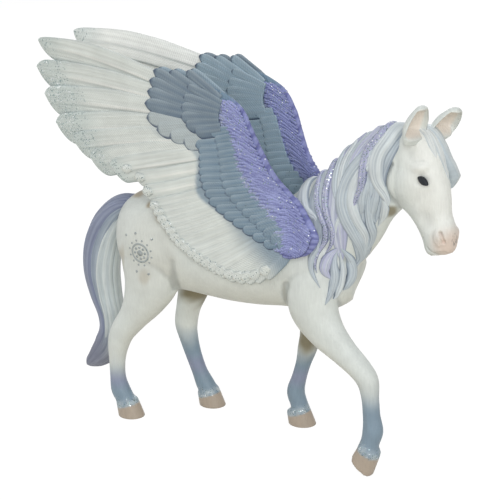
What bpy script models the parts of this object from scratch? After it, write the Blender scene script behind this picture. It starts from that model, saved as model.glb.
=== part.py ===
"""Pegasus figurine: a walking horse with a flowing mane and tail, and two raised wings.

It is built the way such figurines are moulded: one solid horse, and two wings that are
moulded apart and plugged by a peg into sockets behind the horse's shoulders.
+X is forwards, +Y is the horse's left and +Z is up. All sizes below are in millimetres.
"""

import math

import bmesh
import bpy
import numpy as np
from mathutils import Matrix, Vector
from mathutils.bvhtree import BVHTree

MM = 0.001

# Fineness of the moulded surface
HORSE_VOXEL = 0.8
HAIR_VOXEL = 0.6
WING_VOXEL = 0.5
HORSE_FACES = 11600
WING_FACES = 3000
RING_POINTS = 28
HAIR_RING_POINTS = 72
BEYOND = 60.0

# Stance: how far each foot stands from the middle line
FORE_STANCE = 9.3
HIND_STANCE = 9.3

# Stance: where each standing hoof is along the figure
NEAR_HIND_X = -43.6
FAR_HIND_X = -23.2
FAR_FORE_X = 11.4

# Ground: the height, in the tables below, at which the soles are cut flat
GROUND = 1.7

# Hooves
HOOF_HALF_LENGTH = 4.9
LIFTED_HOOF_HALF_LENGTH = 4.2
HOOF_HALF_WIDTH = 4.1
HOOF_HEIGHT = 7.0
HOOF_WALL_SLOPE = 0.28
LIFTED_HOOF_SWING = 40.0
LIFTED_HOOF_OUT = 3.4

# Head
POLL = (59.5, -3.0, 107.0)
FACE_SLOPE = 8.0
HEAD_TURN = 13.0
EAR_LENGTH = 11.6
EAR_HALF_WIDTH = 3.6
EAR_SPREAD = 5.8
NEAR_EAR_LEAN = 35.0
FAR_EAR_LEAN = 46.0
EAR_OPENING = 25.0

# Mane, forelock and tail: how far a lock stands up, and the ridges between the hairs
LOCK_THICKNESS = 3.4
UNDER_LOCK_THICKNESS = 2.2
LOCK_SINK = 0.5
LOCK_HALF_WIDTH = 2.3
UNDER_LOCK_HALF_WIDTH = 1.7
TAIL_RIDGES = 9
TAIL_TWIST = 0.8
FORELOCK_RIDGES = 7
RIDGE_DEPTH = 0.13

# Wings: the highest tip, and the distance from the middle plane to the middle of the sheet
WING_TIP_X = -68.5
WING_TIP_HEIGHT = 126.9
TIP_CORNER = 0.72
WING_ROOT_Y = 15.0
WING_WRIST_Y = 12.5
WING_TIP_Y = 8.5
WRIST_HEIGHT = 115.0
WING_ROOT_HEIGHT = 55.0
WING_TIP_START = -25.0
WING_TIP_END = -70.0
FEATHER_THICKNESS = 1.4
COVERT_THICKNESS = 1.6
COVERT_LIFT = 0.5
ARM_THICKNESS = 3.6
WING_CLEARANCE = 0.5
LEADING_EDGE_TURN_IN = 4.0

# Wing fixing
PEG_X = 20.5
PEG_Z = 73.0
PEG_RADIUS = 2.4
SOCKET_FLOOR_Y = 5.5
SOCKET_CLEARANCE = 0.3


def through(rows, steps):
    """Rows of numbers on a smooth curve that passes through every given row."""
    rows = np.array(rows, float)
    ends = np.vstack([2 * rows[0] - rows[1], rows, 2 * rows[-1] - rows[-2]])
    made = []
    for p0, p1, p2, p3 in zip(ends, ends[1:], ends[2:], ends[3:]):
        for s in np.arange(steps) / steps:
            bend = (2 * p0 - 5 * p1 + 4 * p2 - p3) * s * s + (3 * p1 - 3 * p2 + p3 - p0) * s**3
            made.append(0.5 * (2 * p1 + (p2 - p0) * s + bend))
    made.append(rows[-1])
    return np.array(made)


def loft(rings):
    """A closed bmesh skin through rings of points, with a flat cap at each end."""
    bm = bmesh.new()
    loops = [[bm.verts.new(Vector(p) * MM) for p in ring] for ring in rings]
    for low, high in zip(loops, loops[1:]):
        for i in range(len(low)):
            j = (i + 1) % len(low)
            bm.faces.new((low[i], low[j], high[j], high[i]))
    bm.faces.new(loops[0][::-1])
    bm.faces.new(loops[-1])
    bmesh.ops.recalc_face_normals(bm, faces=bm.faces)
    return bm


def turn(count):
    return np.arange(count) * 2 * math.pi / count


def barrel(rows, steps=3):
    """A trunk along X from rows of x, top, bottom, widest height and half width."""
    rings = []
    for x, top, bottom, middle, width in through(rows, steps):
        ring = []
        for a in turn(RING_POINTS):
            rise = (top - middle if math.cos(a) > 0 else middle - bottom) * math.cos(a)
            side = math.copysign(abs(math.sin(a)) ** 0.85, math.sin(a)) * width
            ring.append((x, side, middle + rise))
        rings.append(ring)
    return loft(rings)


def limb(rows, steps=3, points=RING_POINTS, ridges=0, twist=0.0):
    """A limb from rows of x, y, z, half depth and half width, its rings square to its path."""
    rows = through(rows, steps)
    path = rows[:, :3]
    along = np.gradient(path, axis=0)
    rings = []
    for share, centre, way, (depth, width) in zip(np.linspace(0, 1, len(path)), path, along, rows[:, 3:]):
        way = way / np.linalg.norm(way)
        side = np.array([0.0, 1.0, 0.0]) - way * way[1]
        side /= np.linalg.norm(side)
        front = np.cross(side, way)
        ring = []
        for a in turn(points):
            swell = 1 + RIDGE_DEPTH * math.cos(ridges * (a + twist * share)) if ridges else 1.0
            ring.append(centre + swell * (depth * math.cos(a) * front + width * math.sin(a) * side))
        rings.append(ring)
    return loft(rings)


def head_place():
    """The matrix from the head's own frame (x front, y left, z up from the poll) to the figure."""
    place = Matrix.Translation(Vector(POLL))
    place @= Matrix.Rotation(math.radians(-HEAD_TURN), 4, "Z")
    return place @ Matrix.Rotation(math.radians(-FACE_SLOPE), 4, "Y")


def head():
    """The head from rows of drop from the poll, front, back, half width in front and behind."""
    rows = [
        (0.8, 0.5, -4.0, 3.0, 3.2), (2.2, 2.6, -7.0, 4.6, 5.0), (5.0, 4.0, -9.5, 5.6, 5.8),
        (9.0, 5.0, -11.0, 6.0, 6.2),
        (13.5, 5.6, -11.8, 6.0, 6.4), (18.0, 6.0, -12.0, 4.9, 6.0), (21.5, 6.0, -11.0, 4.2, 5.2),
        (25.0, 5.7, -7.6, 3.7, 4.4), (28.5, 6.4, -5.4, 3.6, 4.0), (32.0, 6.9, -4.0, 3.8, 3.9),
        (35.0, 5.6, -3.6, 3.8, 3.5), (37.2, 3.2, -2.4, 2.6, 2.4),
    ]
    rings = []
    for drop, front, back, wide_front, wide_back in through(rows, 3):
        middle = (front + back) / 2
        depth = (front - back) / 2
        ring = []
        for a in turn(RING_POINTS):
            c = math.cos(a)
            blend = (c + 1) / 2
            width = wide_front * blend + wide_back * (1 - blend)
            side = math.copysign(abs(math.sin(a)) ** 0.8, math.sin(a)) * width
            ring.append((middle + depth * c, side, -drop))
        rings.append(ring)
    return in_place(loft(rings), head_place())


def ear(side):
    """One ear: a leaf rolled into a crescent that opens to the front and outwards."""
    rows = [(-0.16, 0.75, 0.7), (0.0, 0.9, 0.8), (0.25, 1.0, 0.75), (0.5, 0.95, 0.62), (0.75, 0.72, 0.45),
            (0.92, 0.42, 0.28), (1.0, 0.14, 0.12)]
    rings = []
    for rise, width, depth in through(rows, 3):
        ring = []
        for a in turn(RING_POINTS):
            c, s = math.cos(a), math.sin(a)
            hollow = -0.1 if c > 0 else 1.0
            front = (c * hollow + 0.5 * s * s) * depth * EAR_HALF_WIDTH
            ring.append((front, s * width * EAR_HALF_WIDTH, rise * EAR_LENGTH))
        rings.append(ring)
    bm = loft(rings)
    lean = FAR_EAR_LEAN if side > 0 else NEAR_EAR_LEAN
    front, low = (1.6, -4.3) if side > 0 else (-0.6, -2.8)
    place = Matrix.Translation(Vector((front, side * EAR_SPREAD, low)))
    place @= Matrix.Rotation(math.radians(lean), 4, "Y")
    place @= Matrix.Rotation(math.radians(side * EAR_OPENING), 4, "Z")
    return in_place(bm, head_place() @ place)


def in_place(bm, place):
    """Moves a bmesh by a matrix that is written in millimetres."""
    bm.transform(Matrix.Scale(MM, 4) @ place @ Matrix.Scale(1 / MM, 4))
    return bm


def hoof(x, y, half=HOOF_HALF_LENGTH, below=0.3):
    """A hoof whose wall slopes back to the coronet. Its sole is cut flat at the end."""
    rings = []
    for drop in (0.0, 0.35, 0.7, 1.0):
        z = -below + (HOOF_HEIGHT + below) * drop
        back = HOOF_WALL_SLOPE * z
        shrink = 1 - 0.22 * drop
        tilt = 0.32 * drop
        ring = []
        for a in turn(RING_POINTS):
            fore = half * shrink * math.cos(a)
            ring.append((x - back + fore, y + HOOF_HALF_WIDTH * shrink * math.sin(a), z + fore * tilt))
        rings.append(ring)
    return loft(rings)


def near_hind():
    y = -HIND_STANCE
    return limb([
        (-33.5, y + 3.5, 66, 11.0, 6.0), (-32.5, y + 2.6, 58, 11.2, 7.0), (-33.0, y + 1.6, 51, 10.0, 6.4),
        (-35.6, y + 0.8, 44.5, 7.6, 5.0), (-39.8, y + 0.3, 38, 5.2, 3.8), (-44.6, y, 32, 4.3, 3.3),
        (-47.0, y, 27, 3.8, 3.0), (-48.1, y, 21, 2.9, 2.5), (-48.4, y, 15, 2.8, 2.4),
        (-47.8, y, 10.5, 3.4, 2.9), (-46.0, y, 7.0, 3.3, 2.8), (-44.8, y, 3.5, 3.4, 3.0),
    ])


def far_hind():
    y = HIND_STANCE
    return limb([
        (-30.0, y - 3.5, 66, 10.5, 6.0), (-27.5, y - 2.6, 58, 10.5, 7.0),
        (-26.5, y - 1.6, 50.5, 8.4, 6.0),
        (-28.0, y - 0.8, 43, 5.6, 4.6), (-30.5, y - 0.3, 36.5, 4.3, 3.7), (-32.2, y, 30, 4.1, 3.3),
        (-31.6, y, 25, 3.4, 2.9), (-30.1, y, 19, 2.9, 2.5), (-28.0, y, 13, 2.8, 2.4),
        (-26.3, y, 9.2, 3.3, 2.8), (-24.6, y, 6.2, 3.3, 2.8), (-23.8, y, 3.2, 3.4, 3.0),
    ])


def near_fore():
    y = -FORE_STANCE
    return limb([
        (24.5, y + 3.6, 64, 9.0, 5.2), (25.0, y + 2.2, 56, 9.0, 6.0), (26.5, y + 1.2, 49.5, 8.0, 5.4),
        (30.6, y + 0.4, 43.6, 6.2, 4.4), (36.3, y - 0.3, 38.6, 4.5, 3.6), (41.8, y - 0.9, 34.3, 3.7, 3.3),
        (44.7, y - 1.2, 30.7, 3.4, 3.1), (45.6, y - 1.6, 25.6, 2.7, 2.6), (46.1, y - 2.0, 20.2, 2.7, 2.5),
        (46.6, y - 2.3, 15.7, 3.2, 2.8), (45.8, y - 2.6, 12.0, 2.9, 2.7), (44.9, y - 2.8, 9.0, 3.2, 2.9),
    ])


def far_fore():
    y = FORE_STANCE
    return limb([
        (21.0, y - 3.6, 64, 9.0, 5.2), (19.5, y - 2.2, 55, 8.0, 6.0), (17.8, y - 1.2, 47.5, 6.0, 5.0),
        (16.3, y - 0.4, 40, 4.2, 4.0), (15.2, y, 33.5, 3.5, 3.3), (13.9, y, 28.5, 3.2, 3.0),
        (12.2, y, 23, 2.5, 2.4), (10.4, y, 17.5, 2.5, 2.4), (9.0, y, 12.5, 3.0, 2.8),
        (10.0, y, 8.6, 2.9, 2.7), (10.8, y, 5.6, 3.2, 2.9), (11.0, y, 3.2, 3.3, 3.0),
    ])


def lifted_hoof():
    """The stepping fore hoof, which touches the ground with its toe only."""
    bm = hoof(0.0, 0.0, LIFTED_HOOF_HALF_LENGTH, 0.0)
    swing = Matrix.Rotation(math.radians(LIFTED_HOOF_SWING), 4, "Y")
    return in_place(bm, Matrix.Translation((43.3, -FORE_STANCE - LIFTED_HOOF_OUT, 3.7)) @ swing)


def trunk():
    return barrel([
        (-47.0, 69, 59, 64, 4.0), (-44.5, 74.2, 53, 63, 9.0), (-39, 78.2, 48, 62, 12.6),
        (-31, 80.6, 46, 63, 14.0),
        (-23, 80.8, 47, 64, 13.4), (-14, 79.6, 46.6, 62, 13.5), (-4, 78.8, 46.2, 61, 14.2),
        (6, 79.2, 46.4, 61, 13.9),
        (14, 81.0, 47.0, 62, 12.6), (21, 82.0, 47, 63, 12.0), (28, 79.5, 47.5, 61, 11.2),
        (33.5, 73.5, 50, 60, 9.2),
        (37.0, 67.5, 53.5, 60, 6.0), (38.8, 64.0, 57.0, 60.5, 3.0),
    ])


def neck():
    return limb([
        (16.0, 0, 66.0, 13.0, 9.5), (25.5, 0, 71.0, 14.4, 9.3), (33.2, -0.3, 78.0, 13.5, 7.8),
        (39.6, -0.8, 85.2, 11.8, 6.7),
        (45.0, -1.4, 90.4, 11.3, 6.2), (50.8, -2.0, 94.8, 10.9, 5.9), (56.0, -2.4, 98.0, 9.2, 5.3),
        (59.5, -2.6, 100.5, 6.2, 4.4),
    ])


def tail():
    return limb([
        (-39.0, 0.0, 72.0, 3.4, 3.4), (-44.5, 0.2, 72.7, 4.0, 4.2), (-50.0, 0.4, 69.6, 5.0, 4.8),
        (-54.6, 0.6, 63.8, 5.9, 5.2),
        (-57.8, 0.8, 56.2, 6.5, 5.4), (-59.2, 1.0, 48, 6.3, 5.2), (-58.6, 1.2, 40, 5.6, 4.6),
        (-57.2, 1.4, 32.5, 4.7, 4.0),
        (-57.3, 1.5, 26.5, 4.6, 3.8), (-59.3, 1.6, 20.6, 5.6, 3.6), (-64.4, 1.8, 15.2, 4.3, 2.8),
        (-69.0, 1.9, 11.9, 2.4, 1.6),
        (-71.4, 2.0, 10.2, 0.6, 0.6),
    ], 4, HAIR_RING_POINTS, TAIL_RIDGES, TAIL_TWIST)


def mane_locks(horse_skin):
    """Domed locks that hang from the crest and lie on the near side of the neck and shoulder."""
    paths = [
        [(20.5, 83.5), (22.2, 82.0), (25.0, 78.8), (28.0, 75.5), (28.2, 70.6), (27.6, 65.6),
         (28.4, 61.0), (30.3, 58.5)],
        [(24.5, 87.5), (26.2, 83.1), (28.8, 78.9), (30.5, 73.5), (28.9, 68.6), (28.8, 64.8)],
        [(28.8, 91.0), (29.9, 85.0), (31.4, 79.5), (32.6, 73.6), (31.8, 68.5), (31.0, 65.7)],
        [(33.4, 95.0), (33.3, 88.0), (34.3, 80.7), (35.5, 73.8), (36.7, 68.2), (37.0, 63.0)],
        [(38.6, 99.5), (38.3, 95.4), (37.1, 88.8), (37.7, 81.6), (39.2, 73.9), (38.9, 67.0)],
        [(45.0, 102.8), (42.2, 98.8), (41.0, 93.1), (39.4, 86.2), (40.6, 80.2), (42.1, 73.4)],
        [(51.5, 105.2), (47.4, 101.9), (44.3, 96.3), (43.9, 89.6), (44.6, 81.9), (43.7, 74.0)],
        [(54.5, 105.8), (50.8, 101.2), (47.8, 95.8), (47.6, 90.8), (48.0, 86.8), (48.6, 84.0)],
    ]
    curls = [
        [(32.4, 70.5), (31.3, 65.7), (32.2, 61.0), (33.6, 57.1), (33.0, 54.3), (32.0, 52.7)],
        [(34.3, 70.2), (35.8, 65.1), (35.7, 60.5), (36.0, 57.6)],
    ]
    paths = [evenly(path) for path in paths]
    under = [(first + second) / 2 for first, second in zip(paths, paths[1:])]
    locks = [lock(horse_skin, path, LOCK_HALF_WIDTH, LOCK_THICKNESS) for path in paths]
    locks += [lock(horse_skin, path, UNDER_LOCK_HALF_WIDTH, UNDER_LOCK_THICKNESS) for path in under]
    locks += [lock(horse_skin, evenly(path), UNDER_LOCK_HALF_WIDTH, LOCK_THICKNESS) for path in curls]
    return locks


def evenly(rows, count=22):
    """A smooth path through the rows, as the given number of points."""
    path = through(rows, 6)
    place = np.linspace(0, len(path) - 1, count)
    return np.stack([np.interp(place, np.arange(len(path)), column) for column in path.T], axis=1)


def lock(skin, path, width, thickness):
    """One lock on the near side, along a path of x and z."""
    rings = []
    for i, (x, z) in enumerate(path):
        s = i / (len(path) - 1)
        ahead = path[min(i + 1, len(path) - 1)] - path[max(i - 1, 0)]
        side = np.array([ahead[1], -ahead[0]]) / np.hypot(*ahead)
        half = width * min(1.0, 0.7 + 1.5 * s, 0.15 + 1.5 * (1 - s))
        thick = thickness / 2 * min(1.0, 0.3 + 1.6 * (1 - s))
        ring = []
        for a in turn(RING_POINTS // 2):
            px, pz = np.array([x, z]) + side * half * math.cos(a)
            ring.append((px, flank(skin, px, pz) + LOCK_SINK - thick * (0.4 + math.sin(a)), pz))
        rings.append(ring)
    return loft(rings)


def forelock():
    """The lock that falls between the ears and over the forehead to the far side."""
    rows = [(-3.0, 0.3, -0.8, 1.2, 3.0), (1.0, 0.8, -1.2, 1.2, 3.2), (3.4, 1.8, -3.2, 1.2, 3.4),
            (4.2, 3.2, -6.5, 1.2, 3.0),
            (4.7, 4.4, -10.5, 1.4, 2.6), (5.4, 5.0, -14.5, 1.4, 2.2), (4.8, 5.0, -18.4, 0.6, 0.8)]
    return in_place(limb(rows, 4, HAIR_RING_POINTS, FORELOCK_RIDGES), head_place())


def flank(skin, x, z):
    """Where a line from the near side, level with (x, z), first meets the horse."""
    start = Vector((x, -BEYOND, z)) * MM
    met = skin.ray_cast(start, Vector((0.0, 1.0, 0.0)))[0]
    near = met if met is not None else skin.find_nearest(Vector((x, -8.0, z)) * MM)[0]
    return near.y / MM


def wing_y(skin, x, z, inward):
    """How far out the wing's sheet lies at (x, z): clear of the horse by its clearance."""
    up = min(max((z - WING_ROOT_HEIGHT) / (WRIST_HEIGHT - WING_ROOT_HEIGHT), 0.0), 1.0)
    out = min(max((WING_TIP_START - x) / (WING_TIP_START - WING_TIP_END), 0.0), 1.0)
    rest = WING_ROOT_Y + (WING_WRIST_Y - WING_ROOT_Y) * up + (WING_TIP_Y - WING_WRIST_Y) * out
    edge = 13.0 + 0.42 * (98.0 - z)
    near_edge = min(max((x - edge + 13.0) / 13.0, 0.0), 1.0)
    low = min(max((104.0 - z) / 18.0, 0.0), 1.0)
    rest -= LEADING_EDGE_TURN_IN * near_edge * near_edge * low
    hold = 0.0
    for dx, dz in ((0, 0), (1.5, 0), (-1.5, 0), (0, 1.5), (0, -1.5)):
        met = skin.ray_cast(Vector((x + dx, -BEYOND, z + dz)) * MM, Vector((0.0, 1.0, 0.0)))[0]
        if met is not None:
            hold = max(hold, -met.y / MM + WING_CLEARANCE + inward)
    return max(rest, hold)


def blade(skin, root, tip, width, thickness, lift=0.0, bend=0.0, corner=0.0, slant=0.11, rounding=0.11):
    """One feather on the wing's sheet. Its tip is a share, the corner, of its half width up."""
    root, tip = np.array(root, float), np.array(tip, float)
    along = tip - root
    side = np.array([along[1], -along[0]]) / np.hypot(*along)
    side = side if side[1] > 0 else -side
    along = along - side * corner * width
    rings = []
    for s in 1 - (1 - np.linspace(0, 1, 16)) ** 1.5:
        low = 1 - (1 + corner) * max((s - 1 + slant) / slant, 0) ** 1.8
        high = 1 - (1 - corner) * max((s - 1 + rounding) / rounding, 0) ** 2.4
        neck = min(0.6 + 0.6 * s, 1.0)
        centre = root + along * s + side * (bend * 6.75 * s * s * (1 - s) + width * (high - low) / 2)
        half = max(width * neck * (high + low) / 2, 0.05)
        thick = thickness / 2 * (1 - 0.35 * s)
        ring = []
        for a in turn(RING_POINTS // 2):
            x, z = centre + side * half * math.cos(a)
            y = wing_y(skin, x, z, thickness / 2) + lift + thick * math.sin(a)
            ring.append((x, -y, z))
        rings.append(ring)
    return loft(rings)


def arm(skin):
    """The thick leading edge, from the shoulder up to the wrist and on to the first feathers."""
    rows = [(19.6, 65.8, 2.0, 0.55), (22.8, 69.2, 4.4, 0.8), (24.0, 73.6, 6.6, 1.0),
            (21.6, 78.6, 7.4, 1.0),
            (17.8, 82.8, 6.9, 1.0), (14.4, 87.0, 6.2, 1.0), (11.0, 92.4, 5.3, 0.95),
            (8.9, 98.2, 4.7, 0.85),
            (6.6, 104.0, 4.6, 0.75), (2.8, 109.6, 4.4, 0.65), (-4.0, 113.8, 3.4, 0.5),
            (-16.0, 117.2, 2.0, 0.4)]
    rings = []
    path = through(rows, 3)
    for i, (x, z, half, depth) in enumerate(path):
        ahead = path[min(i + 1, len(path) - 1)][:2] - path[max(i - 1, 0)][:2]
        side = np.array([ahead[1], -ahead[0]]) / np.hypot(*ahead)
        thick = ARM_THICKNESS / 2 * depth
        ring = []
        for a in turn(RING_POINTS):
            px, pz = np.array([x, z]) + side * half * math.cos(a)
            ring.append((px, -(wing_y(skin, px, pz, thick) + 0.4 + thick * math.sin(a)), pz))
        rings.append(ring)
    return loft(rings)


def feathers(skin):
    """Flight feathers from the wrist down to the root, and the coverts that lie over them."""
    primaries = [
        ((-4, 112.2), (0.0, 0.0), 4.4, 2.2), ((-4, 109.4), (-1.9, -8.8), 5.0, 1.4),
        ((-4, 106.8), (0.8, -17.3), 5.3, 1.0), ((-3, 103.5), (4.9, -26.1), 5.3, 0.8),
        ((-2, 101.0), (12.0, -31.1), 4.9, 0.6), ((-1, 98.5), (18.7, -36.1), 4.7, 0.4),
        ((0, 96.0), (26.9, -37.7), 4.4, 0.2),
    ]
    secondaries = [
        ((4, 97.5), (-35.6, 89.0)), ((6, 94.5), (-30.6, 86.4)), ((8, 91.5), (-28.2, 82.0)),
        ((10, 88.5), (-25.2, 77.2)),
        ((12, 86), (-22.6, 73.6)), ((14, 83.5), (-20.0, 70.4)), ((16, 81), (-17.4, 66.8)),
        ((18, 78.5), (-12.6, 64.0)),
        ((19.5, 76), (-8.0, 61.8)), ((20.5, 74), (-3.0, 59.4)), ((21, 72), (2.6, 58.4)), ((21, 70.5),
        (8.4, 59.0)),
        ((21, 69), (13.6, 61.6)),
    ]
    coverts = [
        ((0, 110), (-22.6, 120.0), 2.9), ((0, 108), (-24.0, 116.0), 2.9), ((2, 106), (-25.0, 112.6), 2.9),
        ((4, 103.5), (-26.4, 108.6), 3.2), ((5, 101), (-26.4, 104.4), 3.4), ((6, 98.5),
        (-22.8, 101.2), 3.6),
        ((8, 95), (-15.5, 98.2), 3.8), ((10, 91), (-9.4, 93.4), 3.8), ((12, 87), (-8.8, 87.8), 3.8),
        ((14, 83), (-7.8, 83.2), 3.8), ((16, 79.5), (-3.6, 79.6), 3.6), ((18, 76), (2.4, 76.6), 3.4),
        ((20, 73), (7.8, 73.6), 3.0), ((-2, 111), (-16.3, 120.4), 2.4), ((-1, 111), (-10.8, 120.4), 2.2),
        ((-4, 108), (-20, 117), 4.5), ((-2, 104), (-20, 109), 4.5),
    ]
    made = []
    for root, (dx, dz), width, bend in primaries:
        tip = (WING_TIP_X + dx, WING_TIP_HEIGHT + dz)
        made.append(blade(skin, root, tip, width, FEATHER_THICKNESS, 0.0, bend, TIP_CORNER, 0.14, 0.06))
    made += [blade(skin, root, tip, 3.6, FEATHER_THICKNESS, 0.0, -0.4) for root, tip in secondaries]
    made += [blade(skin, root, tip, width, COVERT_THICKNESS, COVERT_LIFT) for root, tip, width in coverts]
    return made


def peg(skin):
    """The round peg from inside the arm to just short of the socket's floor."""
    outer = wing_y(skin, PEG_X, PEG_Z, ARM_THICKNESS / 2)
    inner = SOCKET_FLOOR_Y + SOCKET_CLEARANCE
    return plug(PEG_RADIUS, outer - inner, -(outer + inner) / 2)


def socket_cutter(side):
    depth = WING_ROOT_Y * 2 - SOCKET_FLOOR_Y
    return plug(PEG_RADIUS + SOCKET_CLEARANCE, depth, side * (SOCKET_FLOOR_Y + depth / 2))


def plug(radius, depth, y):
    """A round bar across the figure at the wing's fixing."""
    bm = bmesh.new()
    radius *= MM
    bmesh.ops.create_cone(bm, cap_ends=True, segments=32, radius1=radius, radius2=radius, depth=depth * MM)
    place = Matrix.Translation((PEG_X, y, PEG_Z))
    return in_place(bm, place @ Matrix.Rotation(math.radians(90), 4, "X"))


def join(name, parts):
    """One mesh object that holds every given bmesh."""
    mesh = bpy.data.meshes.new(name)
    whole = bmesh.new()
    for bm in parts:
        piece = bpy.data.meshes.new("piece")
        bm.to_mesh(piece)
        whole.from_mesh(piece)
        bpy.data.meshes.remove(piece)
        bm.free()
    whole.to_mesh(mesh)
    whole.free()
    made = bpy.data.objects.new(name, mesh)
    bpy.context.scene.collection.objects.link(made)
    return made


def settle(made):
    """Gives an object the mesh that its modifiers make, and drops the modifiers."""
    graph = bpy.context.evaluated_depsgraph_get()
    mesh = bpy.data.meshes.new_from_object(made.evaluated_get(graph))
    made.modifiers.clear()
    old = made.data
    made.data = mesh
    bpy.data.meshes.remove(old)
    made.data.name = made.name


def fuse(made, voxel, smooth):
    """Makes overlapping shells one moulded skin."""
    remesh = made.modifiers.new("Fuse", "REMESH")
    remesh.mode = "VOXEL"
    remesh.voxel_size = voxel * MM
    soften = made.modifiers.new("Soften", "SMOOTH")
    soften.factor = 0.5
    soften.iterations = smooth
    settle(made)


def thin_out(made, faces):
    """Keeps about the given number of triangles where the shape needs them."""
    count = sum(len(face.vertices) - 2 for face in made.data.polygons)
    thin = made.modifiers.new("Thin", "DECIMATE")
    thin.ratio = min(1.0, faces / count)
    thin.use_collapse_triangulate = True
    settle(made)


def cut_soles(made):
    """Cuts everything below the ground away and closes the flat soles."""
    bm = bmesh.new()
    bm.from_mesh(made.data)
    everything = bm.verts[:] + bm.edges[:] + bm.faces[:]
    ground = (0, 0, GROUND * MM)
    bmesh.ops.bisect_plane(bm, geom=everything, plane_co=ground, plane_no=(0, 0, 1), clear_inner=True)
    rims = [edge for edge in bm.edges if edge.is_boundary]
    bmesh.ops.holes_fill(bm, edges=rims, sides=0)
    bm.to_mesh(made.data)
    bm.free()


def skin_of(made):
    bm = bmesh.new()
    bm.from_mesh(made.data)
    skin = BVHTree.FromBMesh(bm)
    bm.free()
    return skin


def mirrored(made, name):
    """The same piece on the other side of the middle plane, with its faces outwards."""
    bm = bmesh.new()
    bm.from_mesh(made.data)
    bmesh.ops.scale(bm, vec=(1, -1, 1), verts=bm.verts)
    bmesh.ops.reverse_faces(bm, faces=bm.faces)
    mesh = bpy.data.meshes.new(name)
    bm.to_mesh(mesh)
    bm.free()
    other = bpy.data.objects.new(name, mesh)
    bpy.context.scene.collection.objects.link(other)
    return other


def main():
    for old in list(bpy.data.objects):
        bpy.data.objects.remove(old)
    parts = [trunk(), neck(), head(), ear(1), ear(-1), tail()]
    parts += [near_hind(), far_hind(), near_fore(), far_fore()]
    parts += [hoof(NEAR_HIND_X, -HIND_STANCE), hoof(FAR_HIND_X, HIND_STANCE)]
    parts += [hoof(FAR_FORE_X, FORE_STANCE), lifted_hoof()]
    horse = join("horse", parts)
    fuse(horse, HORSE_VOXEL, 3)
    bare = skin_of(horse)
    dressed = join("dressed", mane_locks(bare) + [forelock()])
    bm = bmesh.new()
    bm.from_mesh(horse.data)
    bm.from_mesh(dressed.data)
    bm.to_mesh(horse.data)
    bm.free()
    bpy.data.objects.remove(dressed)
    fuse(horse, HAIR_VOXEL, 2)
    thin_out(horse, HORSE_FACES)
    cut_soles(horse)
    skin = skin_of(horse)

    right_wing = join("right_wing", feathers(skin) + [arm(skin), peg(skin)])
    fuse(right_wing, WING_VOXEL, 1)
    thin_out(right_wing, WING_FACES)
    left_wing = mirrored(right_wing, "left_wing")

    for side in (-1, 1):
        cutter = join("socket_cutter", [socket_cutter(side)])
        cut = horse.modifiers.new("Socket", "BOOLEAN")
        cut.object = cutter
        cut.solver = "EXACT"
        settle(horse)
        bpy.data.objects.remove(cutter)

    figures = (horse, right_wing, left_wing)
    corners = np.array([v.co for made in figures for v in made.data.vertices])
    middle = (corners.min(axis=0) + corners.max(axis=0)) / 2
    for made in figures:
        made.data.transform(Matrix.Translation((-middle[0], -middle[1], -GROUND * MM)))
    print("moved to the middle of its box by, mm:", np.round(-middle[:2] / MM, 3))


main()
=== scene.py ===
# %% [markdown]
# # A pegasus figurine
# The real figurine is a moulded and painted toy horse, about 80 mm high at the withers, with two
# wings that are moulded apart and plugged in behind the shoulders. This lesson dresses the packed
# model of it: it rebuilds the same forms with a finer surface, then gives each finish its paint.
# The frame is loaded first, because every piece is placed by it and rides on its one body.

# %% Load the frame
import math

import bmesh
import bpy
import numpy as np
from mathutils import Matrix, Quaternion, Vector
from mathutils.bvhtree import BVHTree


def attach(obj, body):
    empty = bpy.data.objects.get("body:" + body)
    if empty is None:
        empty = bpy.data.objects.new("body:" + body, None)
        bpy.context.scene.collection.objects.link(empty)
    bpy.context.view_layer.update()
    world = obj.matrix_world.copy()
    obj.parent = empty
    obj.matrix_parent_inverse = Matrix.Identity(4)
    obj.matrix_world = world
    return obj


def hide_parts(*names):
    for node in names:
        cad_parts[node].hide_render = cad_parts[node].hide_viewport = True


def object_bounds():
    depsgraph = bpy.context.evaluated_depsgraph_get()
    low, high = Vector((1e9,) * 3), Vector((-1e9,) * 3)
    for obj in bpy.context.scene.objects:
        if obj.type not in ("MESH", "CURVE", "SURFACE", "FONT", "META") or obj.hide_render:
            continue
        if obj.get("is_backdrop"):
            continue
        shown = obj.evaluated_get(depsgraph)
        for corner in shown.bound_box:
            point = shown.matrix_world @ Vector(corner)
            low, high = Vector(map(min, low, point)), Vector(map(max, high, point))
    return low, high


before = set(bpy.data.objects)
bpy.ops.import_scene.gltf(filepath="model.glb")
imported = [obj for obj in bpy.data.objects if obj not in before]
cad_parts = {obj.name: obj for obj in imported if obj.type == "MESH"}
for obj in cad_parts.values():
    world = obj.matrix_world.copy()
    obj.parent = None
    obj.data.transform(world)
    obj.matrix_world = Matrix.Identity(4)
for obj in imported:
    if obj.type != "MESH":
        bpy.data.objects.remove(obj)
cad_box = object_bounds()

# %% [markdown]
# ## Sizes
# All lengths below are millimetres, in the table frame of the figure: +X is forwards, +Y is the
# horse's left and +Z is up. The soles stand a little above zero there, so one shift brings
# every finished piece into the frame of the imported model.

# %% Main sizes
MM = 0.001
GROUND = 1.7
TABLE_SHIFT = np.array([0.339, 0.342, -GROUND])
FORE_STANCE = 9.3
HIND_STANCE = 9.3
BODY_GRAIN = 0.6
POLL = (59.5, -3.0, 107.0)
FACE_SLOPE = 8.0
HEAD_TURN = 13.0
RANDOM_SEED = 7
rng = np.random.default_rng(RANDOM_SEED)

# %% [markdown]
# ## The camera
# The camera stands where the photograph was taken from, so a place in the 500 by 500 photograph
# is also a line of sight. The paths of the hair are read off the photograph, and each of their
# points is carried down its line of sight until it meets the skin.

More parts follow.
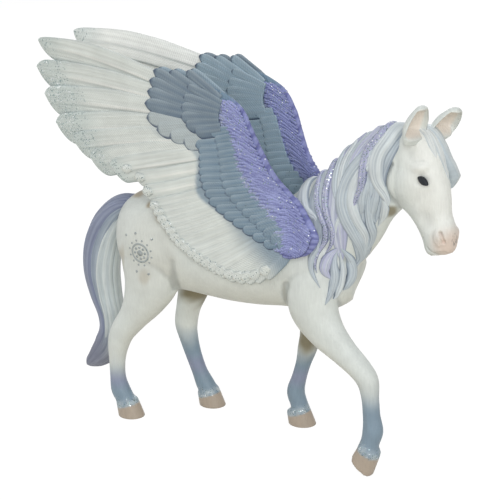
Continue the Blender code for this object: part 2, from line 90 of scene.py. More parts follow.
# %% The camera
VIEW_TURN, VIEW_DROP, VIEW_ROLL = 31.5, 18.2, 2.9
VIEW_DISTANCE = 403.0
VIEW_TARGET = np.array([0.0, 0.0, 62.5])
VIEW_LENS = 93.6
SENSOR = 36.0
PHOTO_SIDE = 500
turn, drop = math.radians(VIEW_TURN), math.radians(VIEW_DROP)
look = np.array([-math.sin(turn) * math.cos(drop), math.cos(turn) * math.cos(drop), -math.sin(drop)])
camera = bpy.data.objects.new("camera", bpy.data.cameras.new("camera"))
camera.data.lens = VIEW_LENS
camera.data.sensor_width = SENSOR
camera.data.clip_start = 0.01
camera.location = (VIEW_TARGET - look * VIEW_DISTANCE + TABLE_SHIFT) * MM
aim = Vector(look).to_track_quat("-Z", "Y") @ Quaternion((0, 0, 1), math.radians(-VIEW_ROLL))
camera.rotation_euler = aim.to_euler()
bpy.context.scene.collection.objects.link(camera)
bpy.context.scene.camera = camera
bpy.context.scene.view_settings.view_transform = "Standard"


def sight(px, py):
    """The line of sight through a place in the photograph, from the camera."""
    side = SENSOR / VIEW_LENS / PHOTO_SIDE
    return aim @ Vector(((px - PHOTO_SIDE / 2) * side, (PHOTO_SIDE / 2 - py) * side, -1.0)).normalized()


def met_by_sight(tree, path):
    """Where the lines of sight through places in the photograph first meet a tree of faces."""
    found = []
    for px, py in path:
        met = tree.ray_cast(camera.location, sight(px, py))[0]
        if met is not None:
            found.append(np.array(met) / MM - TABLE_SHIFT)
    return np.array(found)


def in_photo(co):
    """Where points in table millimetres are seen in the photograph."""
    seen = ((co + TABLE_SHIFT) * MM - np.array(camera.location)) @ np.array(aim.to_matrix())
    side = SENSOR / VIEW_LENS / PHOTO_SIDE
    return PHOTO_SIDE / 2 + seen[:, :2] * (1, -1) / -seen[:, 2:] / side


print("the camera stands at", [round(v, 3) for v in camera.location])

# %% [markdown]
# ## Helpers for shape
# Nearly every form here is a limb, a lock of hair or a feather: a tube whose section changes on
# the way. Blender can start each one from the same blank, a cylinder cut into rings. The blank
# knows two numbers at each point, the angle around it and the share of the way along it, and a
# formula then carries each point to its place. That is quicker to read than a list of points, and
# the caps stay closed.

# %% Curves and masks
def curve(rows, s):
    """Rows of numbers, read at the shares s of the way along a smooth curve through them."""
    rows = np.asarray(rows, float)
    ends = np.vstack([2 * rows[0] - rows[1], rows, 2 * rows[-1] - rows[-2]])
    u = np.clip(s, 0.0, 1.0) * (len(rows) - 1)
    k = np.minimum(u.astype(int), len(rows) - 2)
    f = (u - k)[:, None]
    p0, p1, p2, p3 = ends[k], ends[k + 1], ends[k + 2], ends[k + 3]
    bend = (2 * p0 - 5 * p1 + 4 * p2 - p3) * f**2 + (3 * p1 - 3 * p2 + p3 - p0) * f**3
    return 0.5 * (2 * p1 + (p2 - p0) * f + bend)


def ramp(low, high, value):
    """0 below low, 1 above high, and a smooth step between."""
    t = np.clip((value - low) / (high - low), 0.0, 1.0)
    return t * t * (3 - 2 * t)


def unit(rows):
    return rows / np.maximum(np.linalg.norm(rows, axis=1, keepdims=True), 1e-9)


# %% The blank
blanks = {}


def blank(around, along):
    """A unit cylinder cut into rings, as a mesh, with each point's angle and share of the way."""
    if (around, along) not in blanks:
        bm = bmesh.new()
        bmesh.ops.create_cone(bm, cap_ends=True, segments=around, radius1=1, radius2=1, depth=1)
        rails = [e for e in bm.edges if abs(e.verts[0].co.z - e.verts[1].co.z) > 0.5]
        bmesh.ops.subdivide_edges(bm, edges=rails, cuts=along - 1, use_grid_fill=True)
        mesh = bpy.data.meshes.new("blank")
        bm.to_mesh(mesh)
        bm.free()
        blanks[around, along] = mesh
    mesh = blanks[around, along].copy()
    co = points(mesh)
    return mesh, np.arctan2(co[:, 1], co[:, 0]), co[:, 2] + 0.5


def points(mesh):
    co = np.empty(len(mesh.vertices) * 3)
    mesh.vertices.foreach_get("co", co)
    return co.reshape(-1, 3)


def put(mesh, co):
    """Writes points in table millimetres to a mesh, as metres in the frame of the model."""
    mesh.vertices.foreach_set("co", ((co + TABLE_SHIFT) * MM).ravel())
    mesh.update()
    return mesh


test_mesh = blank(12, 4)[0]
print("a blank of 12 by 4 has", len(test_mesh.vertices), "points")
bpy.data.meshes.remove(test_mesh)

# %% Limbs from rows
SMALL_STEP = 0.004


def sections(rows, s):
    """The row at each share s of the way, and the side and front of the section there."""
    way = unit(curve(rows, s + SMALL_STEP)[:, :3] - curve(rows, s - SMALL_STEP)[:, :3])
    side = unit(np.array([0.0, 1.0, 0.0]) - way * way[:, 1:2])
    return curve(rows, s), side, np.cross(side, way)


def limb(rows):
    """A limb from rows of x, y, z, half depth and half width, its rings square to its path."""
    mesh, a, s = blank(40, 60)
    row, side, front = sections(rows, s)
    depth, width = row[:, 3] * np.cos(a), row[:, 4] * np.sin(a)
    return put(mesh, row[:, :3] + depth[:, None] * front + width[:, None] * side)


def barrel(rows):
    """The trunk along X from rows of x, top, bottom, widest height and half width."""
    mesh, a, s = blank(56, 60)
    x, top, bottom, middle, width = curve(rows, s).T
    rise = np.where(np.cos(a) > 0, top - middle, middle - bottom) * np.cos(a)
    side = np.sign(np.sin(a)) * np.abs(np.sin(a)) ** 0.85 * width
    return put(mesh, np.stack([x, side, middle + rise], axis=1))


# %% [markdown]
# ## The horse
# The body is one moulding, so all its limbs have to melt into one skin. Lofting them apart, laying
# them over each other and letting a voxel remesh fuse them is what a sculptor does with clay, and
# it leaves an even grid that takes carving well. The rows are the same sections as the packed
# model's, read off the figurine's outline.

# %% The trunk, neck and legs
def trunk():
    return barrel([
        (-47.0, 69, 59, 64, 4.0), (-44.5, 74.2, 53, 63, 9.0), (-39, 78.2, 48, 62, 12.6),
        (-31, 80.6, 46, 63, 14.0), (-23, 80.8, 47, 64, 13.4), (-14, 79.6, 46.6, 62, 13.5),
        (-4, 78.8, 46.2, 61, 14.2), (6, 79.2, 46.4, 61, 13.9), (14, 81.0, 47.0, 62, 12.6),
        (21, 82.0, 47, 63, 12.0), (28, 79.5, 47.5, 61, 11.2), (33.5, 73.5, 50, 60, 9.2),
        (37.0, 67.5, 53.5, 60, 6.0), (38.8, 64.0, 57.0, 60.5, 3.0),
    ])


def neck():
    return limb([
        (16.0, 0, 66.0, 13.0, 9.5), (25.5, 0, 71.0, 14.4, 9.3), (33.2, -0.3, 78.0, 13.5, 7.8),
        (39.6, -0.8, 85.2, 11.8, 6.7), (45.0, -1.4, 90.4, 11.3, 6.2), (50.8, -2.0, 94.8, 10.9, 5.9),
        (56.0, -2.4, 98.0, 9.2, 5.3), (59.5, -2.6, 100.5, 6.2, 4.4),
    ])


def near_hind():
    y = -HIND_STANCE
    return limb([
        (-33.5, y + 3.5, 66, 11.0, 6.0), (-32.5, y + 2.6, 58, 11.2, 7.0), (-33.0, y + 1.6, 51, 10.0, 6.4),
        (-35.6, y + 0.8, 44.5, 7.6, 5.0), (-39.8, y + 0.3, 38, 5.2, 3.8), (-44.6, y, 32, 4.3, 3.3),
        (-47.0, y, 27, 3.8, 3.0), (-48.1, y, 21, 2.9, 2.5), (-48.4, y, 15, 2.8, 2.4),
        (-47.8, y, 10.5, 3.4, 2.9), (-46.0, y, 7.0, 3.3, 2.8), (-44.8, y, 3.5, 3.4, 3.0),
    ])


def far_hind():
    y = HIND_STANCE
    return limb([
        (-30.0, y - 3.5, 66, 10.5, 6.0), (-27.5, y - 2.6, 58, 10.5, 7.0), (-26.5, y - 1.6, 50.5, 8.4, 6.0),
        (-28.0, y - 0.8, 43, 5.6, 4.6), (-30.5, y - 0.3, 36.5, 4.3, 3.7), (-32.2, y, 30, 4.1, 3.3),
        (-31.6, y, 25, 3.4, 2.9), (-30.1, y, 19, 2.9, 2.5), (-28.0, y, 13, 2.8, 2.4),
        (-26.3, y, 9.2, 3.3, 2.8), (-24.6, y, 6.2, 3.3, 2.8), (-23.8, y, 3.2, 3.4, 3.0),
    ])


def near_fore():
    y = -FORE_STANCE
    return limb([
        (24.5, y + 3.6, 64, 9.0, 5.2), (25.0, y + 2.2, 56, 9.0, 6.0), (26.5, y + 1.2, 49.5, 8.0, 5.4),
        (30.6, y + 0.4, 43.6, 6.2, 4.4), (36.3, y - 0.3, 38.6, 4.5, 3.6), (41.8, y - 0.9, 34.3, 3.7, 3.3),
        (44.7, y - 1.2, 30.7, 3.4, 3.1), (45.6, y - 1.6, 25.6, 2.7, 2.6), (46.1, y - 2.0, 20.2, 2.7, 2.5),
        (46.6, y - 2.3, 15.7, 3.2, 2.8), (45.8, y - 2.6, 12.0, 2.9, 2.7), (44.9, y - 2.8, 9.0, 3.2, 2.9),
    ])


def far_fore():
    y = FORE_STANCE
    return limb([
        (21.0, y - 3.6, 64, 9.0, 5.2), (19.5, y - 2.2, 55, 8.0, 6.0), (17.8, y - 1.2, 47.5, 6.0, 5.0),
        (16.3, y - 0.4, 40, 4.2, 4.0), (15.2, y, 33.5, 3.5, 3.3), (13.9, y, 28.5, 3.2, 3.0),
        (12.2, y, 23, 2.5, 2.4), (10.4, y, 17.5, 2.5, 2.4), (9.0, y, 12.5, 3.0, 2.8),
        (10.0, y, 8.6, 2.9, 2.7), (10.8, y, 5.6, 3.2, 2.9), (11.0, y, 3.2, 3.3, 3.0),
    ])


TAIL_ROWS = [
    (-39.0, 0.0, 72.0, 3.4, 3.4), (-44.5, 0.2, 72.7, 4.0, 4.2), (-50.0, 0.4, 69.6, 5.0, 4.8),
    (-54.6, 0.6, 63.8, 5.9, 5.2), (-57.8, 0.8, 56.2, 6.5, 5.4), (-59.2, 1.0, 48, 6.3, 5.2),
    (-58.6, 1.2, 40, 5.6, 4.6), (-57.2, 1.4, 32.5, 4.7, 4.0), (-57.3, 1.5, 26.5, 4.6, 3.8),
    (-59.3, 1.6, 20.6, 5.6, 3.6), (-64.4, 1.8, 15.2, 4.3, 2.8), (-69.0, 1.9, 11.9, 2.4, 1.6),
    (-71.4, 2.0, 10.2, 0.6, 0.6),
]
TAIL_COVER = 1.3


def tail_core():
    """The tail's middle, which the locks of the tail then cover."""
    rows = np.array(TAIL_ROWS)[:-1]
    rows[:, 3:] = np.maximum(rows[:, 3:] - TAIL_COVER, 0.5)
    return limb(rows)


# %% The hooves
HOOF_HEIGHT = 7.0
HOOF_TAPER = 0.22
WALL_SLOPE = 0.28
CORONET_SLOPE = 0.32
HOOF_HALF_WIDTH = 4.1
HOOF_HALF_LENGTH, LIFTED_HALF_LENGTH = 4.9, 4.2
BELOW_GROUND = 0.3
HOOVES = {
    "near hind": (-43.6, -HIND_STANCE), "far hind": (-23.2, HIND_STANCE), "far fore": (11.4, FORE_STANCE),
}
LIFTED_HOOF_SWING = 40.0
LIFTED_HOOF = (
    Matrix.Translation((43.3, -FORE_STANCE - 3.4, 3.7))
    @ Matrix.Rotation(math.radians(LIFTED_HOOF_SWING), 4, "Y")
)


def carried(co, matrix):
    """Points moved by a matrix."""
    m = np.array(matrix)
    return co @ m[:3, :3].T + m[:3, 3]


def hoof(place, half, below):
    """A hoof with a wall that slopes back, in its own frame, then carried by a matrix."""
    mesh, a, s = blank(40, 24)
    z = -below + (HOOF_HEIGHT + below) * s
    shrink = 1 - HOOF_TAPER * s
    fore = half * shrink * np.cos(a)
    side = HOOF_HALF_WIDTH * shrink * np.sin(a)
    co = np.stack([fore - WALL_SLOPE * z, side, z + fore * CORONET_SLOPE * s], axis=1)
    return put(mesh, carried(co, place))


def hooves():
    stands = [Matrix.Translation((x, y, 0)) for x, y in HOOVES.values()]
    made = [hoof(place, HOOF_HALF_LENGTH, BELOW_GROUND) for place in stands]
    return made + [hoof(LIFTED_HOOF, LIFTED_HALF_LENGTH, 0.0)]


# %% The head and ears
HEAD_PLACE = (
    Matrix.Translation(Vector(POLL)) @ Matrix.Rotation(math.radians(-HEAD_TURN), 4, "Z")
    @ Matrix.Rotation(math.radians(-FACE_SLOPE), 4, "Y")
)


def head():
    """The head from rows of drop from the poll, front, back, half width in front and behind."""
    mesh, a, s = blank(56, 60)
    drop, front, back, wide_front, wide_back = curve([
        (0.8, 0.5, -4.0, 3.0, 3.2), (2.2, 2.6, -7.0, 4.6, 5.0), (5.0, 4.0, -9.5, 5.6, 5.8),
        (9.0, 5.0, -11.0, 6.0, 6.2), (13.5, 5.6, -11.8, 6.0, 6.4), (18.0, 6.0, -12.0, 4.9, 6.0),
        (21.5, 6.0, -11.0, 4.2, 5.2), (25.0, 5.7, -7.6, 3.7, 4.4), (28.5, 6.4, -5.4, 3.6, 4.0),
        (32.0, 6.9, -4.0, 3.8, 3.9), (35.0, 5.6, -3.6, 3.8, 3.5), (37.2, 3.2, -2.4, 2.6, 2.4),
    ], s).T
    blend = (np.cos(a) + 1) / 2
    width = wide_front * blend + wide_back * (1 - blend)
    side = np.sign(np.sin(a)) * np.abs(np.sin(a)) ** 0.8 * width
    co = np.stack([(front + back) / 2 + (front - back) / 2 * np.cos(a), side, -drop], axis=1)
    return put(mesh, carried(co, HEAD_PLACE))


EAR_LENGTH = 9.9
EAR_HALF_WIDTH = 3.9
# For each ear: forwards, left and up from the poll, then how far it leans and opens in degrees
EARS = {"near": (0.3, -5.2, -2.5, 29.0, 4.0), "far": (1.4, 5.4, -3.5, 46.0, 14.0)}


def ear(name):
    """One ear: a leaf rolled into a bowl with a thick rim, open to the front."""
    mesh, a, s = blank(64, 48)
    rise, width, depth = curve([
        (-0.16, 0.8, 0.4), (0.0, 1.0, 0.55), (0.22, 1.1, 0.8), (0.5, 1.02, 0.76), (0.75, 0.78, 0.56),
        (0.92, 0.5, 0.38), (1.0, 0.2, 0.16),
    ], s).T
    bowl = ramp(0.02, 0.2, rise) * (1 - ramp(0.74, 0.97, rise))
    inner = np.clip((np.cos(a) - 0.15) / 0.85, 0, 1) ** 0.7
    fold = 0.14 * np.exp(-(((np.sin(a) + 0.3) / 0.15) ** 2)) * bowl * (rise < 0.5)
    front = np.where(np.cos(a) > 0, 0.75 * np.cos(a), np.cos(a)) - (1.5 * bowl * inner - fold)
    co = np.stack([front * depth, np.sin(a) * width, rise * EAR_LENGTH / EAR_HALF_WIDTH], axis=1)
    co *= EAR_HALF_WIDTH
    inside = ramp(0.35, 0.7, np.cos(a)) * ramp(0.02, 0.12, rise) * ramp(0.98, 0.85, rise)
    return put(mesh, carried(co, HEAD_PLACE @ ear_place(name))), inside


def ear_place(name):
    front, side, low, lean, opening = EARS[name]
    place = Matrix.Translation((front, side, low)) @ Matrix.Rotation(math.radians(lean), 4, "Y")
    return place @ Matrix.Rotation(math.radians(-opening), 4, "Z")


# %% [markdown]
# Fusing is one voxel remesh and a little smoothing. The head needs a finer grid than the flanks,
# for the lids, the nostrils and the ears, so its faces are cut once more before the carving.

# %% Fuse the body
def join(name, meshes):
    """One object that holds every given mesh, in the order given."""
    whole = bmesh.new()
    for mesh in meshes:
        whole.from_mesh(mesh)
        bpy.data.meshes.remove(mesh)
    mesh = bpy.data.meshes.new(name)
    whole.to_mesh(mesh)
    whole.free()
    made = bpy.data.objects.new(name, mesh)
    bpy.context.scene.collection.objects.link(made)
    return made


def settle(made):
    """Gives an object the mesh that its modifiers make, and drops the modifiers."""
    graph = bpy.context.evaluated_depsgraph_get()
    mesh = bpy.data.meshes.new_from_object(made.evaluated_get(graph))
    made.modifiers.clear()
    old = made.data
    made.data = mesh
    bpy.data.meshes.remove(old)
    mesh.name = made.name


parts = [trunk(), neck(), head(), near_hind(), far_hind(), near_fore(), far_fore()]
body = join("horse_body", parts + hooves() + [tail_core()])
fuse = body.modifiers.new("Fuse", "REMESH")
fuse.mode = "VOXEL"
fuse.voxel_size = BODY_GRAIN * MM
settle(body)
print("the fused body has", len(body.data.polygons), "faces")

# %% Cut the head finer, and soften the grid
def in_head(co):
    """Points in table millimetres, seen from the head's own frame: front, left, up."""
    return carried(co, HEAD_PLACE.inverted())


def table_points(mesh):
    return points(mesh) / MM - TABLE_SHIFT


SMOOTHING = 3
HEAD_BACK, HEAD_FRONT = -9, 16
HEAD_LOW, HEAD_HIGH = -40, 14
near_head = in_head(table_points(body.data))
is_head = (near_head[:, 0] > HEAD_BACK) & (near_head[:, 0] < HEAD_FRONT)
is_head &= (near_head[:, 2] > HEAD_LOW) & (near_head[:, 2] < HEAD_HIGH)
bm = bmesh.new()
bm.from_mesh(body.data)
bm.verts.ensure_lookup_table()
fine = [e for e in bm.edges if is_head[e.verts[0].index] and is_head[e.verts[1].index]]
bmesh.ops.subdivide_edges(bm, edges=fine, cuts=1, use_grid_fill=True)
for _ in range(SMOOTHING):
    bmesh.ops.smooth_vert(
        bm, verts=bm.verts, factor=0.5, use_axis_x=True, use_axis_y=True, use_axis_z=True)
everything = bm.verts[:] + bm.edges[:] + bm.faces[:]
bmesh.ops.bisect_plane(bm, geom=everything, plane_co=(0, 0, 0), plane_no=(0, 0, 1), clear_inner=True)
bmesh.ops.holes_fill(bm, edges=[e for e in bm.edges if e.is_boundary], sides=0)
bm.to_mesh(body.data)
bm.free()
print("with the finer head and flat soles:", len(body.data.polygons), "faces")

# %% [markdown]
# ## Carving
# A sculptor's tool either presses a dent, raises a swelling or draws a groove. Each is a few lines
# here: find the points within reach, and move them along their normals by a soft falloff. The
# places were read in the head's own frame, front, left and up from the poll, and most of them are
# worked on both sides at once.

# %% Carving tools
def normals(mesh):
    n = np.empty(len(mesh.vertices) * 3)
    mesh.vertex_normals.foreach_get("vector", n)
    return n.reshape(-1, 3)


def swell(co, out, centre, radii, height):
    """Moves points within an ellipsoid outwards, or inwards for a height below zero."""
    d = np.sum(((co - np.array(centre)) / np.array(radii)) ** 2, axis=1)
    co += out * (height * np.clip(1 - d, 0, 1) ** 2)[:, None]


def near_path(co, path, stops):
    """How far each point lies from a smooth path, measured between a number of stops on it."""
    line = curve(path, np.linspace(0, 1, stops))
    near = np.full(len(co), 1e9)
    for start, end in zip(line, line[1:]):
        way = end - start
        t = np.clip((co - start) @ way / max(way @ way, 1e-9), 0, 1)
        near = np.minimum(near, np.linalg.norm(co - start - t[:, None] * way, axis=1))
    return near


def draw(co, out, path, reach, height):
    """Raises a ridge along a smooth path, or draws a groove for a height below zero."""
    near = near_path(co, path, 24)
    co += out * (height * np.clip(1 - (near / reach) ** 2, 0, 1) ** 2)[:, None]


def both(path):
    """A path on the near cheek, and its mirror image on the other."""
    path = np.array(path, float)
    return path, path * np.array([1, -1, 1])


# %% Carve the face
EYE = (1.9, -6.2, -14.4)
SWELLINGS = [
    ((2.4, -6.3, -10.6), (4.2, 3.0, 2.2), 1.2), (EYE, (3.6, 3.0, 2.6), -0.8),
    ((-5.4, -6.4, -16.5), (6.2, 4.0, 7.0), 1.2), ((4.4, -3.6, -30.8), (2.9, 2.4, 3.0), 1.1),
    ((0.8, -5.2, -26.0), (4.4, 3.0, 5.0), -1.0), ((-1.0, -6.0, -6.5), (3.5, 3.0, 3.5), -0.6),
]
UPPER_LID = [(4.7, -5.9, -14.6), (3.2, -6.5, -12.6), (1.0, -6.9, -12.0)]
LOWER_LID = [(4.3, -6.1, -15.9), (2.6, -6.8, -15.7), (0.9, -7.0, -13.6)]
FACE_BONE = [(4.6, -6.0, -16.4), (3.6, -5.6, -18.8), (3.0, -4.8, -22.0), (3.4, -4.2, -25.5)]
TEAR_HOLLOW = [(1.2, -6.4, -17.2), (1.2, -6.0, -20.0), (1.8, -5.0, -24.0)]
NOSTRIL_RIM = [(3.6, -4.2, -28.4), (2.3, -4.6, -29.8), (2.2, -4.6, -31.8), (3.4, -4.2, -33.2)]
NOSTRIL = [(4.3, -4.0, -29.4), (4.7, -3.9, -30.6), (4.9, -3.6, -32.0)]
MOUTH = [(-2.6, -3.6, -31.2), (-1.7, -3.9, -33.4), (0.4, -3.4, -35.6), (2.6, -1.8, -36.8)]
JAW_EDGE = [(-8.2, -6.0, -9.6), (-10.4, -6.0, -14.2), (-10.8, -5.8, -18.6), (-9.2, -5.0, -22.8)]
# For each line: its path, its reach and how far it is raised or pressed
FACE_LINES = [
    (LOWER_LID, 0.8, 0.4), (UPPER_LID, 0.9, 0.5), (FACE_BONE, 1.4, 1.0), (TEAR_HOLLOW, 1.6, -1.0),
    (NOSTRIL_RIM, 1.0, 0.7), (NOSTRIL, 0.95, -1.5), (MOUTH, 0.85, -0.75), (JAW_EDGE, 1.8, -0.9),
]
# Ovals in the photograph, at the nose, the chin and the chest
SEEN_SWELLINGS = [((460, 232), (8, 13), 0.2), ((441, 257), (16, 6), -0.7), ((365, 289), (13, 27), -1.7)]
FRONT_PART = 20

co = in_head(table_points(body.data))
out = normals(body.data) @ np.array(HEAD_PLACE.inverted())[:3, :3].T
for side in (1, -1):
    for centre, radii, height in SWELLINGS:
        swell(co, out, np.array(centre) * (1, side, 1), radii, height)
for path, reach, height in FACE_LINES:
    for line in both(path):
        draw(co, out, line, reach, height)
co = carried(co, HEAD_PLACE)
out = normals(body.data)
for centre, radii, height in SEEN_SWELLINGS:
    d = np.sum(((in_photo(co) - centre) / radii) ** 2, axis=1)
    co += out * (height * np.clip(1 - d, 0, 1) * (co[:, 0] > FRONT_PART))[:, None]
put(body.data, co)
print("carved", len(SWELLINGS), "swellings and", len(FACE_LINES), "lines on each cheek")

# %% Carve the body and legs
co = table_points(body.data)
out = normals(body.data)
for side in (-1, 1):
    swell(co, out, (26.0, 10.0 * side, 62.0), (9, 6, 9), 0.5)
    swell(co, out, (-34.0, 12.0 * side, 66.0), (9, 6, 11), 0.5)
NEAR_FOLDS = [
    [(19.0, -11, 57.0), (18.2, -10, 52.5), (19.5, -8, 47.5), (22.5, -7, 44.5)],
    [(-20.5, -12, 60.0), (-21.5, -11.5, 54.0), (-22.5, -9.5, 49.0)],
]
FAR_FOLDS = [
    [(12.5, 11, 57.0), (11.6, 10, 52.0), (12.0, 8, 47.0)],
    [(-15.5, 12, 60.0), (-17.0, 11.5, 54.0), (-19.0, 9, 48.0)],
]
for fold in NEAR_FOLDS + FAR_FOLDS:
    draw(co, out, fold, 2.6, -0.55)
# For each tendon: the middle of its leg, and its path on the outer side
TENDONS = [
    (HIND_STANCE, [(-47.6, -12.0, 26), (-49.2, -11.8, 20), (-49.4, -11.6, 14)]),
    (FORE_STANCE, [(43.6, -13.5, 26), (44.6, -13.6, 20), (45.0, -13.6, 16)]),
    (HIND_STANCE, [(-33.0, 12.0, 25), (-31.4, 11.8, 19), (-29.4, 11.6, 13.5)]),
    (FORE_STANCE, [(12.0, 11.9, 26), (10.6, 11.6, 20), (8.8, 11.6, 14.5)]),
]
for middle, outside in TENDONS:
    inside = [(x, y * (2 * middle / abs(y) - 1), z) for x, y, z in outside]
    for tendon in (outside, inside):
        draw(co, out, tendon, 0.9, -0.28)
put(body.data, co)
print("carved folds at", len(NEAR_FOLDS) + len(FAR_FOLDS), "places and", 2 * len(TENDONS), "tendons")

# %% [markdown]
# ## Paint as a mask
# The factory sprays and brushes its colours through masks: blue socks that fade upwards, pink at
# the muzzle, pearl white all over. The same can be done by working out a colour at each point
# from its place and keeping it as an attribute, which the material then reads. Colours are
# written as the sRGB hex values that a painter would match, and turned to linear once.

# %% Colours
def linear(hexed):
    """An sRGB hex colour as linear red, green and blue."""
    value = np.array([int(hexed[i:i + 2], 16) for i in (1, 3, 5)]) / 255
    return np.where(value <= 0.04045, value / 12.92, ((value + 0.055) / 1.055) ** 2.4)


PEARL = linear("#dbe1df")
WARM_PEARL = linear("#d3d3c9")
SOCK_BLUE = linear("#8599aa")
SOCK_VIOLET = linear("#8f96b0")
HORN = linear("#b3a698")
FRINGE = linear("#ccd5d8")
BLUSH = linear("#e3cdbf")
EAR_PINK = linear("#eae0d6")
DARK_OLIVE = linear("#857d63")
WARM_BROWN = linear("#9b8661")
CREASE_SHADE = linear("#9fa5a4")
HIGHLIGHT_WHITE = linear("#f0f2ef")
CHIP = linear("#5c5a56")
HAIR = linear("#b9c5cf")
HAIR_PALE = linear("#d3dce1")
LILAC = linear("#b9badb")
HAIR_DARK = linear("#8996a6")
TAIL_END_VIOLET = linear("#74788c")
SLATE = linear("#6f879c")
SLATE_DARK = linear("#46566c")
SLATE_DEEP = linear("#66788a")
TEAL = linear("#a0b8c8")
FINGER_PALE = linear("#b3bdc1")
SLATE_PALE = linear("#b4c1c8")
FEATHER_WHITE = linear("#d9dfdd")
FEATHER_GREY = linear("#c3cbca")
FEATHER_SHADE = linear("#9ba5a5")
SHAFT_WHITE = linear("#f0f1ef")
GLITTER_GROUND = linear("#b3c2c2")
PURPLE = linear("#7479b2")
PURPLE_PALE = linear("#a6aedb")
PURPLE_DARK = linear("#51578f")


def mix(one, other, amount):
    amount = np.asarray(amount)[..., None]
    return one * (1 - amount) + other * amount


# %% Paint the body
def wander(co, size, seed):
    """A soft random field, about -1 to 1, that changes over the given size."""
    picker = np.random.default_rng(seed)
    total = np.zeros(len(co))
    for _ in range(6):
        way = picker.normal(size=3) / size
        total += np.sin(co @ way + picker.uniform(0, 6.28))
    return total / 3


def hollows(mesh, passes):
    """How far each point lies in a hollow, in millimetres, against its smoothed neighbourhood."""
    ends = np.empty(len(mesh.edges) * 2, np.int64)
    mesh.edges.foreach_get("vertices", ends)
    one, other = ends.reshape(-1, 2).T
    start = points(mesh)
    co = start.copy()
    count = np.bincount(ends, minlength=len(co))[:, None]
    for _ in range(passes):
        total = np.zeros_like(co)
        for axis in range(3):
            total[:, axis] += np.bincount(one, co[other, axis], len(co))
            total[:, axis] += np.bincount(other, co[one, axis], len(co))
        co = total / count
    return np.sum((co - start) * normals(mesh), axis=1) / MM


# Where each sock ends and where it is full: near hind, far hind, near fore, far fore
SOCK_TOPS = [23.5, 31.0, 33.5, 30.0]
SOCK_FEET = [13.0, 20.0, 20.0, 22.5]

co = table_points(body.data)
face = in_head(co)
shade = normals(body.data)
is_hind, is_near = co[:, 0] < 0, co[:, 1] < 0
legs = [is_hind & is_near, is_hind, is_near]
top = np.select(legs, SOCK_TOPS[:3], SOCK_TOPS[3])
foot = np.select(legs, SOCK_FEET[:3], SOCK_FEET[3])
paint = np.tile(PEARL, (len(co), 1))
# Painted shade: warmer and darker where the skin faces down, below the height of the back.
paint = mix(paint, WARM_PEARL, 0.6 * ramp(0.1, -0.8, shade[:, 2]) * ramp(80, 60, co[:, 2]))
fade = ramp(0, 1, (top - co[:, 2] - 1.2 * wander(co, 3.0, 3)) / (top - foot))
violet = ramp(5.0, 0.0, np.abs(co[:, 2] - np.where(is_near, foot + 2.0, foot - 4.0))) * (co[:, 0] < 30)
sock = mix(np.tile(SOCK_BLUE, (len(co), 1)), SOCK_VIOLET, 0.85 * violet)
paint = mix(paint, sock, fade)
horn = np.zeros(len(co))
fringe = np.zeros(len(co))
for place in [co - (x, y, 0) for x, y in HOOVES.values()] + [carried(co, LIFTED_HOOF.inverted())]:
    level = place[:, 2] - CORONET_SLOPE * place[:, 0] - 1.4
    within = ramp(9, 7, np.hypot(place[:, 0], place[:, 1]))
    horn = np.maximum(horn, ramp(4.6, 4.0, level) * within)
    fringe = np.maximum(fringe, ramp(7.6, 5.4, level) * within)
paint = mix(paint, FRINGE, 0.55 * fringe * (0.6 + 0.5 * wander(co, 0.5, 12)).clip(0, 1))
paint = mix(paint, HORN, horn)
# Painted highlight: the front of the head, above the muzzle, is whiter.
face_highlight = ramp(-6, 2, face[:, 0]) * ramp(-34, -26, face[:, 2]) * (co[:, 2] > 70)
paint = mix(paint, HIGHLIGHT_WHITE, 0.8 * face_highlight)
# Painted shade in the hollows of the skin, at a fine and a broad scale.
paint = mix(paint, CREASE_SHADE, np.clip(3.0 * hollows(body.data, 4) + 1.2 * hollows(body.data, 30), 0, 0.6))
muzzle = ramp(6.6, 2.2, np.linalg.norm((face - (4.6, 0, -33.2)) * (1, 0.8, 1), axis=1))
paint = mix(paint, BLUSH, 0.8 * muzzle * (face[:, 2] < -20))
print("socks on", int((fade > 0.5).sum()), "points, horn on", int((horn > 0.5).sum()))

# %% Paint the shadows, the brown patches and the chips
# For each spot: its place and reach in the photograph, its side of the middle, colour and strength
# Painted shadows at the groin, the top of the far foreleg, the throat, the elbow and along the wing's lower
# edge at the dock; the last three spots lay brown on the thigh.
PAINTED_SHADOWS_AND_PATCHES = [
    ((197, 292), (26, 19), 1, DARK_OLIVE, 1.0), ((309, 341), (17, 21), 1, DARK_OLIVE, 0.95),
    ((389, 211), (9, 8), 0, DARK_OLIVE, 0.9), ((285, 293), (4, 12), -1, DARK_OLIVE, 0.25),
    ((140, 194), (9, 6), -1, WARM_BROWN, 0.75), ((150, 203), (8, 6), -1, WARM_BROWN, 0.75),
    ((162, 215), (8, 7), -1, WARM_BROWN, 0.4), ((145, 277), (7, 10), -1, WARM_BROWN, 0.3),
    ((122, 262), (4, 26), -1, WARM_BROWN, 0.35), ((152, 245), (40, 62), -1, WARM_BROWN, 0.12),
]
CHIPPED_NOSE = (7.4, 0.2, -32.4)
facing = ramp(0.0, 0.3, -shade @ look)
seen = in_photo(co) + np.stack([3.0 * wander(co, 2.5, 5), 3.0 * wander(co, 2.0, 6)], axis=1)
for centre, reach, side, spot_colour, strength in PAINTED_SHADOWS_AND_PATCHES:
    near = np.linalg.norm((seen - centre) / reach, axis=1)
    paint = mix(paint, spot_colour, strength * ramp(1.0, 0.35, near) * facing * (co[:, 1] * side >= 0))
